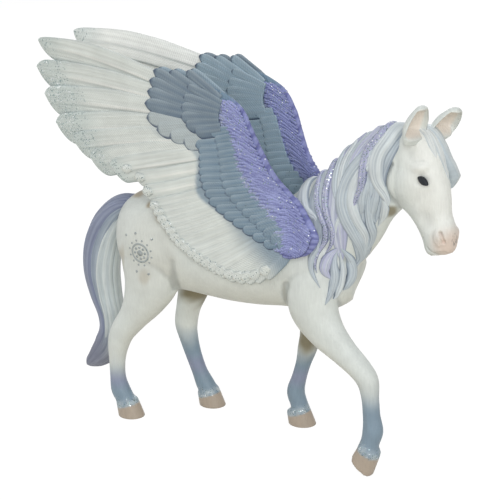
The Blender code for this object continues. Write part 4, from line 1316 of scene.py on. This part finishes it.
# %% Where the coverts lie
# For each covert: where its root and its tip are seen in the photograph, and its half width
LONG_FINGERS = [
    ((220, 100), (187, 71), 2.0), ((216, 106), (170, 71.5), 2.3), ((214, 109), (154, 70), 2.5),
    ((213, 112), (150, 80), 2.6), ((212, 115), (148, 91), 2.6), ((211, 119), (145.5, 103), 2.7),
]
PALE_FINGERS = [
    ((212, 122), (147, 118), 3.0), ((214, 126), (157, 130), 3.0), ((218, 132), (170, 137), 3.0),
    ((222, 140), (184, 143), 3.0),
]
SHORT_FINGERS = [
    ((222, 105), (188, 86), 2.0), ((221, 110), (184, 97), 2.2), ((220, 114), (182, 107), 2.3),
    ((220, 119), (182, 117), 2.4), ((220, 124), (187, 125), 2.4), ((222, 129), (196, 131), 2.4),
]
LOWER_ROW = [
    ((226, 144), (196, 146), 2.0), ((228, 152), (199, 152), 1.9), ((230, 159), (199, 159), 1.9),
    ((232, 166), (199, 166), 1.9), ((234, 173), (199, 173), 1.9), ((237, 180), (200, 180), 1.9),
    ((240, 187), (202, 187.5), 1.9), ((244, 194), (205, 195), 1.9), ((249, 201), (209, 203), 1.9),
    ((255, 208), (216, 210), 1.9), ((261, 215), (224, 217), 1.8), ((268, 222), (233, 224), 1.8),
    ((275, 229), (243, 231), 1.8), ((282, 236), (253, 238), 1.7), ((288, 243), (264, 245), 1.7),
]
UPPER_ROW = [
    ((230, 130), (212, 134), 1.7), ((234, 138), (216, 141), 1.7), ((236, 146), (218, 148.5), 1.7),
    ((238, 153), (219, 156), 1.7), ((240, 161), (220, 163.5), 1.7), ((242, 168), (221, 171), 1.7),
    ((244, 176), (221, 178.5), 1.7), ((247, 183), (223, 186), 1.7), ((251, 190), (226, 193), 1.7),
    ((256, 197), (231, 200), 1.7), ((262, 204), (237, 207), 1.7), ((268, 211), (243, 213.5), 1.7),
    ((274, 218), (250, 220), 1.7), ((280, 225), (257, 227), 1.7), ((285, 232), (264, 234), 1.6),
    ((290, 239), (271, 241), 1.6), ((294, 246), (279, 248), 1.6),
]
ARM_ROW = [
    ((258, 196), (241, 199), 1.5), ((263, 203), (246, 206), 1.5), ((268, 210), (250, 213), 1.5),
    ((273, 216), (255, 219.5), 1.5), ((278, 222), (260, 226), 1.5), ((284, 229), (266, 232.5), 1.5),
    ((289, 236), (272, 239), 1.5), ((294, 243), (278, 245.5), 1.4),
]

# %% Coverts
coverts = Bundle()


def covert_paint(values, tone, inner):
    off, s, across, _ = values.T
    # The inner face is teal, in a lighter tone that also makes up for its shade: partly painted light.
    base = mix(np.tile(tone, (len(s), 1)), TEAL, 0.75 * inner)
    base = mix(base, SLATE_PALE, 0.12 * ramp(0.4, 0.9, s) + 0.3 * ramp(0.2, 0.9, across))
    # Painted shadow: dark along the lower edge and at the tip, where each covert steps down to the next.
    base = mix(base, SLATE_DARK, np.clip(ramp(-0.55, -0.85, across) + ramp(0.93, 0.99, s), 0, 1))
    return mix(base, SLATE_PALE, 0.3 * np.exp(-((off / 0.12) ** 2)) * (1 - s**3))


def add_coverts(row, lift, thick, tone, gleam=0.0, corner=0.0, slant=0.24, rounding=0.2, shaft=0.05):
    """A row of coverts on both faces of the wing, tilted so that each laps over its neighbour."""
    for root, tip, width in row:
        for face in (1, -1):
            mesh, values, strand = feather(
                wing_place(*root), wing_place(*tip), width, thick, face * lift, (20, 32),
                shingle=0.2 * face, corner=corner, slant=slant, rounding=rounding, shaft=shaft,
                neck=0.85, crown=0.14)
            coverts.add(mesh, covert_paint(values, tone, face < 0), strand, gleam)


add_coverts(PALE_FINGERS[::-1], 0.85, 0.45, FINGER_PALE, corner=0.1, slant=0.2)
add_coverts(LONG_FINGERS[::-1], 1.05, 0.6, SLATE_DEEP, corner=0.15, slant=0.22, shaft=0.16)
add_coverts(LOWER_ROW, 0.95, 0.5, SLATE)
add_coverts(SHORT_FINGERS[::-1], 1.3, 0.5, SLATE_DEEP, corner=0.15, slant=0.25, rounding=0.22, shaft=0.14)
add_coverts(UPPER_ROW, 1.25, 0.5, SLATE)
add_coverts(ARM_ROW, 1.3, 0.5, SLATE, gleam=0.05)
print("the coverts are", len(coverts.meshes), "feathers on both faces")

# %% [markdown]
# ### The leading edge
# A rounded arm runs from the shoulder to the wrist. Purple curls of small feathers lie over it in
# rows, like waves that break backwards.

# %% The arm
ARM_INNER = [
    (19.6, 67.4), (19.4, 70.4), (17.4, 75.0), (15.0, 78.6), (11.6, 82.4), (8.6, 86.6), (6.4, 91.6),
    (4.8, 96.8), (2.8, 102.0), (0.4, 107.4), (-3.0, 111.8), (-9.0, 114.8), (-16.0, 116.6),
]
ARM_OUTER = [
    (22.0, 66.6), (27.4, 68.4), (30.0, 71.0), (30.6, 74.6), (26.6, 80.6), (21.2, 85.6), (16.6, 91.2),
    (13.6, 98.0), (11.0, 104.8), (7.8, 110.6), (1.8, 114.6), (-6.4, 117.2), (-15.0, 118.6),
]
ARM_PURPLE_END = 0.77
ARM_THICKNESS = 3.2
ARM_LIFT = 0.3
ARM_STATIONS = [0, 0.1, 0.3, 0.6, 0.8, 1.0]
ARM_DEPTHS = [0.55, 0.85, 1.0, 0.85, 0.6, 0.4]
RIPPLES, RIPPLE_DEPTH = 150, 0.13
band = Bundle()


def arm_flat(s, u):
    """A place on the arm: s from the shoulder to the wrist and on, u from its back to its front."""
    inner, outer = curve(np.array(ARM_INNER), s), curve(np.array(ARM_OUTER), s)
    return inner + (outer - inner) * np.asarray(u)[:, None]


def arm_half(s):
    """Half the arm's thickness at its middle line."""
    return ARM_THICKNESS / 2 * np.interp(s, ARM_STATIONS, ARM_DEPTHS)


def arm_bulge(s, u):
    """How far the arm's skin stands off the middle of the sheet."""
    return arm_half(s) * np.sqrt(np.clip(1 - (2 * u - 1.1) ** 2 * 0.8, 0, 1))


def arm():
    """The arm itself, rippled by slanting waves that show between the curls."""
    mesh, a, s = blank(72, 170)
    across = np.cos(a)
    flat = arm_flat(s, 0.44 + 0.56 * across)
    wave = np.sin(s * RIPPLES - across * 4.5 + 0.9 * np.sin(s * 31) + 0.7 * np.sin(across * 5 + s * 60))
    ripple = RIPPLE_DEPTH * wave * np.sign(np.sin(a)) * np.abs(np.sin(a)) ** 0.5
    y = wing_y(flat[:, 0], flat[:, 1]) + ARM_LIFT + arm_half(s) * np.sin(a) + ripple
    co = np.stack([flat[:, 0], -y, flat[:, 1]], axis=1)
    # Painted highlight on the crests of the ripples and painted shade in their grooves.
    groove = ramp(0.2, -1.0, wave)
    colour = mix(np.tile(PURPLE, (len(s), 1)), PURPLE_PALE, 0.35 * (1 - groove))
    colour = mix(colour, PURPLE_DARK, 0.45 * groove)
    colour = mix(colour, SLATE, ramp(ARM_PURPLE_END - 0.03, ARM_PURPLE_END + 0.05, s))
    band.add(put(mesh, co), colour, np.stack([across * 5, s * 62, np.zeros(len(s))], axis=1), 0.06)


arm()
print("the arm is", ARM_THICKNESS, "mm thick and purple up to", ARM_PURPLE_END, "of its length")

# %% The curls on the arm
CURLS_DOWN = 52
CURL_SHINE, TIP_SHINE = 0.12, 0.4


def curls(face, rows, length, width, lift):
    """Slim wavy feathers in rows across the arm, each rooted forward and lifted at its tip."""
    for j in range(CURLS_DOWN):
        for i in range(rows):
            place = (j + 0.5 * (i % 2) + rng.uniform(-0.1, 0.1)) / CURLS_DOWN
            s = np.array([0.04 + (ARM_PURPLE_END - 0.04) * place])
            u = np.array([0.88 - 0.86 * (i + rng.uniform(-0.1, 0.1)) / rows])
            root = arm_flat(s, u)[0]
            turn = 0.1 + 0.45 * s[0] + rng.uniform(-0.07, 0.07)
            run = length * rng.uniform(0.85, 1.15) * (0.7 + 0.3 * math.sin(math.pi * s[0]))
            tip = root + run * np.array([-math.cos(turn), math.sin(turn)])
            stand = arm_bulge(s, u - 0.12)[0] - 0.15 + lift * rng.random()
            mesh, values, strand = feather(
                root, tip, width, 0.5, face * stand + ARM_LIFT, (8, 9), rng.uniform(0.35, 0.55),
                shingle=0.16 * face, slant=0.35, rounding=0.3, shaft=0.0, neck=0.8, crown=0.16)
            _, t, across, _ = values.T
            tone = PURPLE + (PURPLE_PALE - PURPLE) * rng.uniform(0, 0.4)
            tone = tone + (SLATE_PALE - tone) * 0.75 * ramp(0.55, 0.12, u[0])
            # Painted highlight on the upper side and towards the tip, painted shadow along the lower edge.
            pale = 0.7 * ramp(0.3, 0.9, across) + 0.3 * ramp(0.6, 1.0, t)
            colour = mix(np.tile(tone, (len(t), 1)), PURPLE_PALE, pale)
            colour = mix(colour, PURPLE_DARK, 0.9 * ramp(-0.35, -0.85, across))
            at_rim = u[0] < 0.4 or place > 0.85
            band.add(mesh, colour, strand, TIP_SHINE if at_rim else CURL_SHINE)


curls(1, 6, 4.6, 0.68, 0.14)
curls(-1, 4, 6.4, 0.66, 0.05)
print("the leading edge has", len(band.meshes) - 1, "curls on each wing")

# %% Make both wings
for side in ("right", "left"):
    for name, bundle in {"flight_feathers": flight, "coverts": coverts, "leading_edge": band}.items():
        made = Bundle()
        made.meshes = [mesh.copy() if side == "right" else mirrored(mesh) for mesh in bundle.meshes]
        made.paints, made.strands, made.gleams = bundle.paints, bundle.strands, bundle.gleams
        made.piece(f"{side}_{name}", "painted_wing", (f"{side}_wing",))

# %% [markdown]
# ## The flank mark
# A plain silver rosette of rings, petals and dots is painted on the thigh. It is raised by the
# thickness of the paint, so it is cut from circles that are given a wall and laid on the skin.

# %% The flank mark
MARK_CENTRE = (-31.8, 61.8)
MARK_THICKNESS = 0.3
MARK_STANDS = 0.18
SILVER_PAINT = linear("#a6aeb0")
PETALS, BEADS = 8, 12
LOOSE_DOTS = ((-5.6, 5.0), (-1.5, 6.2), (4.6, 5.0), (-2.0, -6.4), (2.4, -6.8))


def disc(dx, dz, radius, segments=20, inner=0.0):
    """A thin disc or ring on the near flank, placed from the middle of the mark."""
    bm = bmesh.new()
    if inner > 0:
        bmesh.ops.create_circle(bm, radius=radius, segments=segments)
        bmesh.ops.create_circle(bm, radius=inner, segments=segments)
        bmesh.ops.bridge_loops(bm, edges=bm.edges[:])
    else:
        bmesh.ops.create_circle(bm, radius=radius, segments=segments, cap_ends=True)
    bmesh.ops.solidify(bm, geom=bm.faces[:], thickness=MARK_THICKNESS)
    mesh = bpy.data.meshes.new("dot")
    bm.to_mesh(mesh)
    bm.free()
    co = points(mesh)
    level = co[:, 2] - co[:, 2].min()
    x, z = co[:, 0] + (MARK_CENTRE[0] + dx), co[:, 1] + (MARK_CENTRE[1] + dz)
    y = np.array([near_side(skin, u, v) for u, v in zip(x, z)])
    return put(mesh, np.stack([x, y + MARK_STANDS - level, z], axis=1))


def round_mark(count, reach, radius, segments, start=0.0):
    """Discs spaced evenly on a circle around the middle of the mark."""
    angles = [math.tau * (k + start) / count for k in range(count)]
    return [disc(reach * math.cos(a), reach * math.sin(a), radius, segments) for a in angles]


dots = [disc(0, 0, 1.0), disc(0, 0, 3.3, 48, inner=2.75)]
dots += round_mark(PETALS, 1.9, 0.42, 12) + round_mark(BEADS, 4.2, 0.32, 10, start=0.5)
dots += [disc(dx, dz, 0.4, 10) for dx, dz in LOOSE_DOTS]
mark = Bundle()
for mesh in dots:
    count = len(mesh.vertices)
    mark.add(mesh, np.tile(SILVER_PAINT, (count, 1)), np.zeros((count, 3)), 0.35)
mark.piece("flank_mark", "painted_horse")

# %% [markdown]
# ## Materials
# The figurine is solid soft PVC under sprayed and brushed acrylic paint, with a satin pearl
# lacquer. PVC has an IOR near 1.53, and the lacquer gives a broad soft gleam. One small function
# adds a node, and each material is built from the same few parts: the paint attribute, a little
# mottling, a fine bump and the glitter.

# %% A node with its settings and links
def add(tree, kind, inputs=None, **settings):
    node = tree.nodes.new(kind)
    for key, value in settings.items():
        setattr(node, key, value)
    for key, value in (inputs or {}).items():
        if isinstance(value, bpy.types.NodeSocket):
            tree.links.new(value, node.inputs[key])
        else:
            node.inputs[key].default_value = value
    return node


PER_METRE = 1000.0
GLITTER_SIZE = 0.38
MOTTLE_SIZE = 5.0


def glitter_flakes(tree, place, gleam):
    """Flakes about 0.4 mm across: cells that are kept at random, more of them where gleam is high."""
    cells = add(tree, "ShaderNodeTexVoronoi", {"Vector": place, "Scale": PER_METRE / GLITTER_SIZE})
    pick = add(tree, "ShaderNodeSeparateColor", {"Color": cells.outputs["Color"]})
    keep = add(tree, "ShaderNodeMath", {0: pick.outputs["Red"], 1: gleam}, operation="LESS_THAN")
    small = add(tree, "ShaderNodeMath", {0: cells.outputs["Distance"], 1: 0.5}, operation="LESS_THAN")
    flake = add(tree, "ShaderNodeMath", {0: keep.outputs[0], 1: small.outputs[0]}, operation="MULTIPLY")
    tone = add(tree, "ShaderNodeValToRGB", {"Fac": pick.outputs["Green"]})
    dull, bright = tone.color_ramp.elements
    dull.color, dull.position = (*linear("#7c9092"), 1), 0.55
    bright.color, bright.position = (*linear("#f4f6f8"), 1), 0.97
    return flake.outputs[0], tone.outputs["Color"]


def empty_material(name):
    """A new material, and its node tree without nodes."""
    material = bpy.data.materials.new(name)
    material.use_nodes = True
    material.node_tree.nodes.clear()
    return material, material.node_tree


def painted(name, grain, bump_depth, ridge_shading):
    """Painted PVC with a satin lacquer; grain makes the height of its fine bump."""
    material, tree = empty_material(name)
    place = add(tree, "ShaderNodeTexCoord").outputs["Object"]
    coat = add(tree, "ShaderNodeAttribute", attribute_name="paint", attribute_type="GEOMETRY")
    gleam = add(tree, "ShaderNodeAttribute", attribute_name="gleam", attribute_type="GEOMETRY")
    mottle = add(tree, "ShaderNodeTexNoise", {
        "Vector": place, "Scale": PER_METRE / MOTTLE_SIZE, "Detail": 4.0})
    level = add(tree, "ShaderNodeMapRange", {
        "Value": mottle.outputs["Fac"], "From Min": 0.3, "From Max": 0.7, "To Min": 0.94, "To Max": 1.04})
    height = grain(tree, place)
    # Painted highlight on the ridges of the fine bump and painted shade in its grooves.
    ridge_shade = add(tree, "ShaderNodeMapRange", {
        "Value": height, "From Min": 0.3, "From Max": 0.7, "To Min": 1 - ridge_shading, "To Max": 1 + ridge_shading})
    level = add(tree, "ShaderNodeMath", {0: level.outputs[0], 1: ridge_shade.outputs[0]}, operation="MULTIPLY")
    shaded = add(tree, "ShaderNodeVectorMath", {0: coat.outputs["Color"], 1: level.outputs[0]},
                 operation="MULTIPLY")
    share = add(tree, "ShaderNodeMath", {0: gleam.outputs["Fac"], 1: 0.5}, operation="MULTIPLY")
    flake, tone = glitter_flakes(tree, place, share.outputs[0])
    colour = add(tree, "ShaderNodeMix", {"Factor": flake, 6: shaded.outputs[0], 7: tone}, data_type="RGBA")
    rough = add(tree, "ShaderNodeMapRange", {"Value": flake, "To Min": 0.5, "To Max": 0.22})
    bump = add(tree, "ShaderNodeBump", {"Height": height, "Distance": bump_depth * MM, "Strength": 1.0})
    shine = add(tree, "ShaderNodeMath", {0: flake, 1: 0.55}, operation="MULTIPLY")
    surface = add(tree, "ShaderNodeBsdfPrincipled", {
        "Base Color": colour.outputs[2], "Roughness": rough.outputs[0], "Metallic": shine.outputs[0],
        "Normal": bump.outputs["Normal"], "IOR": 1.5, "Specular IOR Level": 0.35,
        "Coat Weight": 0.12, "Coat Roughness": 0.35})
    add(tree, "ShaderNodeOutputMaterial", {"Surface": surface.outputs[0]})
    return material


# %% Grains: coat hairs, hair lines and barbs
HAIR_SPACING, STROKE_LENGTH = 0.5, 1 / 0.26
STRAND_SPACING, STRAND_LENGTH = 1 / 2.4, 1 / 0.12
BARB_SPACING = 0.8
BARB_SLANT = 0.75
BARB_STRENGTH = 0.14
# Feathers of about this length, most of the secondaries, stay plain and show no barbs
PLAIN_FEATHER, PLAIN_RANGE = 36.0, 10.0


def coat_hairs(tree, place):
    """Short combed strokes, 0.5 mm apart and some eight times as long, that run down the body."""
    across, down = PER_METRE / HAIR_SPACING, PER_METRE / STROKE_LENGTH
    stretched = add(tree, "ShaderNodeMapping", {"Vector": place, "Scale": (across, across, down)})
    strokes = add(tree, "ShaderNodeTexNoise", {
        "Vector": stretched.outputs[0], "Scale": 1.0, "Detail": 2.0})
    return strokes.outputs["Fac"]


def strand_lines(tree, place):
    """Fine hairs along each lock, 0.4 mm apart. They follow the lock and so need no place."""
    strand = add(tree, "ShaderNodeAttribute", attribute_name="strand", attribute_type="GEOMETRY")
    long = add(tree, "ShaderNodeMapping", {
        "Vector": strand.outputs["Vector"], "Scale": (1 / STRAND_SPACING, 1 / STRAND_LENGTH, 1.0)})
    hairs = add(tree, "ShaderNodeTexNoise", {"Vector": long.outputs[0], "Scale": 1.0, "Detail": 2.0})
    return hairs.outputs["Fac"]


def barbs(tree, place):
    """Barbs that slant back from the shaft of each feather, 0.8 mm apart."""
    strand = add(tree, "ShaderNodeAttribute", attribute_name="strand", attribute_type="GEOMETRY")
    axes = add(tree, "ShaderNodeSeparateXYZ", {"Vector": strand.outputs["Vector"]})
    off = add(tree, "ShaderNodeMath", {0: axes.outputs["X"]}, operation="ABSOLUTE")
    slant = add(tree, "ShaderNodeMath", {0: off.outputs[0], 1: BARB_SLANT}, operation="MULTIPLY")
    run = add(tree, "ShaderNodeMath", {0: axes.outputs["Y"], 1: slant.outputs[0]}, operation="SUBTRACT")
    turns = math.tau / BARB_SPACING
    wave = add(tree, "ShaderNodeMath", {0: run.outputs[0], 1: turns}, operation="MULTIPLY")
    barb = add(tree, "ShaderNodeMath", {0: wave.outputs[0]}, operation="SINE")
    long = add(tree, "ShaderNodeMapping", {"Vector": strand.outputs["Vector"], "Scale": (1.5, 0.05, 0.3)})
    hairs = add(tree, "ShaderNodeTexNoise", {"Vector": long.outputs[0], "Scale": 1.0, "Detail": 3.0})
    other = add(tree, "ShaderNodeMath", {0: axes.outputs["Z"], 1: PLAIN_FEATHER}, operation="SUBTRACT")
    other = add(tree, "ShaderNodeMath", {0: other.outputs[0]}, operation="ABSOLUTE")
    wide = add(tree, "ShaderNodeMath", {0: other.outputs[0], 1: PLAIN_RANGE}, operation="GREATER_THAN")
    barb = add(tree, "ShaderNodeMath", {0: barb.outputs[0], 1: BARB_STRENGTH}, operation="MULTIPLY")
    barb = add(tree, "ShaderNodeMath", {0: barb.outputs[0], 1: wide.outputs[0]}, operation="MULTIPLY")
    grain = add(tree, "ShaderNodeMath", {0: hairs.outputs["Fac"], 1: barb.outputs[0]}, operation="ADD")
    return grain.outputs[0]


# %% The finishes
# Pearl white acrylic on PVC: a satin skin with combed coat hairs and dust-fine mottling
PEARL_COAT = painted("pearl_acrylic_on_pvc", coat_hairs, 0.16, 0.03)
# Acrylic on moulded hair: a painted highlight on the ridges, painted shade in the grooves, and fine hair
# lines
HAIR_COAT = painted("drybrushed_hair_acrylic", strand_lines, 0.14, 0.10)
# Acrylic on feathers: barbs that catch the light, with a painted highlight and shade on them, and glitter
# at the tips
FEATHER_COAT = painted("drybrushed_feather_acrylic", barbs, 0.2, 0.09)


HAZE_SIZE = 1.2


def eye_enamel():
    """Black enamel. Its shine is soft in the photograph, so it is rougher than fresh gloss enamel."""
    material, tree = empty_material("gloss_black_enamel")
    place = add(tree, "ShaderNodeTexCoord").outputs["Object"]
    haze = add(tree, "ShaderNodeTexNoise", {
        "Vector": place, "Scale": PER_METRE / HAZE_SIZE, "Detail": 2.0})
    tone = add(tree, "ShaderNodeValToRGB", {"Fac": haze.outputs["Fac"]})
    deep, hazy = tone.color_ramp.elements
    deep.color, hazy.color = (*linear("#15181d"), 1), (*linear("#22272f"), 1)
    surface = add(tree, "ShaderNodeBsdfPrincipled", {
        "Base Color": tone.outputs["Color"], "Roughness": 0.5, "IOR": 1.5, "Specular IOR Level": 0.3})
    add(tree, "ShaderNodeOutputMaterial", {"Surface": surface.outputs[0]})
    return material


GLOSS_BLACK = eye_enamel()
HAIR_PIECES = ("mane", "forelock", "tail_hair")
WING_PIECES = ("flight_feathers", "coverts", "leading_edge")
for made in pieces:
    if made.name in HAIR_PIECES:
        finish = HAIR_COAT
    elif made.name.endswith(WING_PIECES):
        finish = FEATHER_COAT
    else:
        finish = PEARL_COAT
    made.data.materials.append(finish)
for made in eyes:
    made.data.materials.append(GLOSS_BLACK)
print("materials:", [m.name for m in bpy.data.materials if m.users])

# %% [markdown]
# ## Studio
# The figurine stands on a plain white sweep under soft light. The floor and the world are white
# to the camera only, so the object itself is lit at a plain level, and the floor keeps a faint
# shadow.

# %% The floor
WHITE = (1, 1, 1, 1)
FLOOR_SIZE = 30.0


def seen_directly(tree):
    """1 for what the camera sees, also in a gloss or through glass, and 0 for light that bounces."""
    path = add(tree, "ShaderNodeLightPath")
    seen = add(tree, "ShaderNodeMath", {
        0: path.outputs["Is Camera Ray"], 1: path.outputs["Is Glossy Ray"]}, operation="MAXIMUM")
    seen = add(tree, "ShaderNodeMath", {
        0: seen.outputs[0], 1: path.outputs["Is Transmission Ray"]}, operation="MAXIMUM")
    return seen.outputs[0]


def floor_paper():
    """Matt white paper: it bounces a warm light, and to the camera it is nearly white."""
    material, tree = empty_material("matt_white_paper")
    bounce = add(tree, "ShaderNodeBsdfDiffuse", {"Color": (*linear("#d6d0c2"), 1)})
    soft = add(tree, "ShaderNodeBsdfDiffuse", {"Color": (*linear("#7c7c7c"), 1)})
    glow = add(tree, "ShaderNodeEmission", {"Color": WHITE, "Strength": 0.9})
    white = add(tree, "ShaderNodeAddShader", {0: soft.outputs[0], 1: glow.outputs[0]})
    sheet = add(tree, "ShaderNodeMixShader", {
        "Fac": seen_directly(tree), 1: bounce.outputs[0], 2: white.outputs[0]})
    add(tree, "ShaderNodeOutputMaterial", {"Surface": sheet.outputs[0]})
    return material


bm = bmesh.new()
bmesh.ops.create_grid(bm, x_segments=2, y_segments=2, size=FLOOR_SIZE)
mesh = bpy.data.meshes.new("floor")
bm.to_mesh(mesh)
bm.free()
floor = bpy.data.objects.new("floor", mesh)
bpy.context.scene.collection.objects.link(floor)
floor.data.materials.append(floor_paper())
floor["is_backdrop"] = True
print("the floor is", 2 * FLOOR_SIZE, "m wide, so its far edge can't be seen")

# %% The world and the lamps
world = bpy.data.worlds.new("studio")
bpy.context.scene.world = world
world.use_nodes = True
tree = world.node_tree
tree.nodes.clear()
fill = add(tree, "ShaderNodeBackground", {"Color": (*linear("#f1f1ee"), 1), "Strength": 0.47})
white = add(tree, "ShaderNodeBackground", {"Color": WHITE, "Strength": 1.0})
sky = add(tree, "ShaderNodeMixShader", {
    "Fac": seen_directly(tree), 1: fill.outputs[0], 2: white.outputs[0]})
add(tree, "ShaderNodeOutputWorld", {"Surface": sky.outputs[0]})
LAMP_TARGET = (0, 0, 0.06)


def lamp(name, place, size, power, colour):
    """A square area lamp that points at the figurine's middle and can't be seen itself."""
    data = bpy.data.lights.new(name, "AREA")
    data.shape = "SQUARE"
    data.size = size
    data.energy = power
    data.color = tuple(linear(colour))
    made = bpy.data.objects.new(name, data)
    made.location = place
    made.rotation_euler = (Vector(LAMP_TARGET) - Vector(place)).to_track_quat("-Z", "Y").to_euler()
    made.visible_camera = False
    bpy.context.scene.collection.objects.link(made)


lamp("key", (0.55, -0.75, 0.42), 0.6, 4.6, "#ffffff")
lamp("top", (0.0, -0.2, 0.9), 0.6, 0.9, "#fdfeff")
lamp("side", (-0.8, -0.5, 0.35), 0.5, 1.3, "#ffffff")
lamp("back", (-0.2, 0.9, 0.5), 0.6, 2.2, "#ffffff")
print("lamps:", [light.name for light in bpy.data.lights])

# %% [markdown]
# ## Within the frame's box
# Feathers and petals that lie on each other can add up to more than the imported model's width. What
# stands beyond the last stretch before the box is squeezed into that stretch, so layers get
# thinner but keep their order.

# %% Squeeze into the frame's box
BOX_MARGIN = 0.01 * MM
SQUEEZE_ROOM = 1.5 * MM
# The box is centred over the origin in X and Y and stands on Z = 0, so one stop serves both sides
stops = np.array(cad_box)[1] - BOX_MARGIN


def squeezed(value, stop):
    """Values up to a stop, with those in the last stretch before it moved closer together."""
    over = np.clip(value - stop + SQUEEZE_ROOM, 0, None)
    return np.where(over > 0, stop - SQUEEZE_ROOM * np.exp(-over / SQUEEZE_ROOM), value)


for made in pieces:
    co = points(made.data)
    kept = co.copy()
    for axis, stop in enumerate(stops):
        if np.abs(co[:, axis]).max() > stop:
            kept[:, axis] = np.sign(co[:, axis]) * squeezed(np.abs(co[:, axis]), stop)
    if (kept != co).any():
        made.data.vertices.foreach_set("co", kept.ravel())
        made.data.update()
        print(made.name, "squeezed by", round(float(np.abs(kept - co).max()) / MM, 2), "mm")

# %% Measure both boxes and finish
visual_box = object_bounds()
sizes = {
    "cad": [[float(v) for v in corner] for corner in cad_box],
    "visual": [[float(v) for v in corner] for corner in visual_box],
}
for box, corners in sizes.items():
    print(box, "box in mm:", [[round(v / MM, 1) for v in corner] for corner in corners])
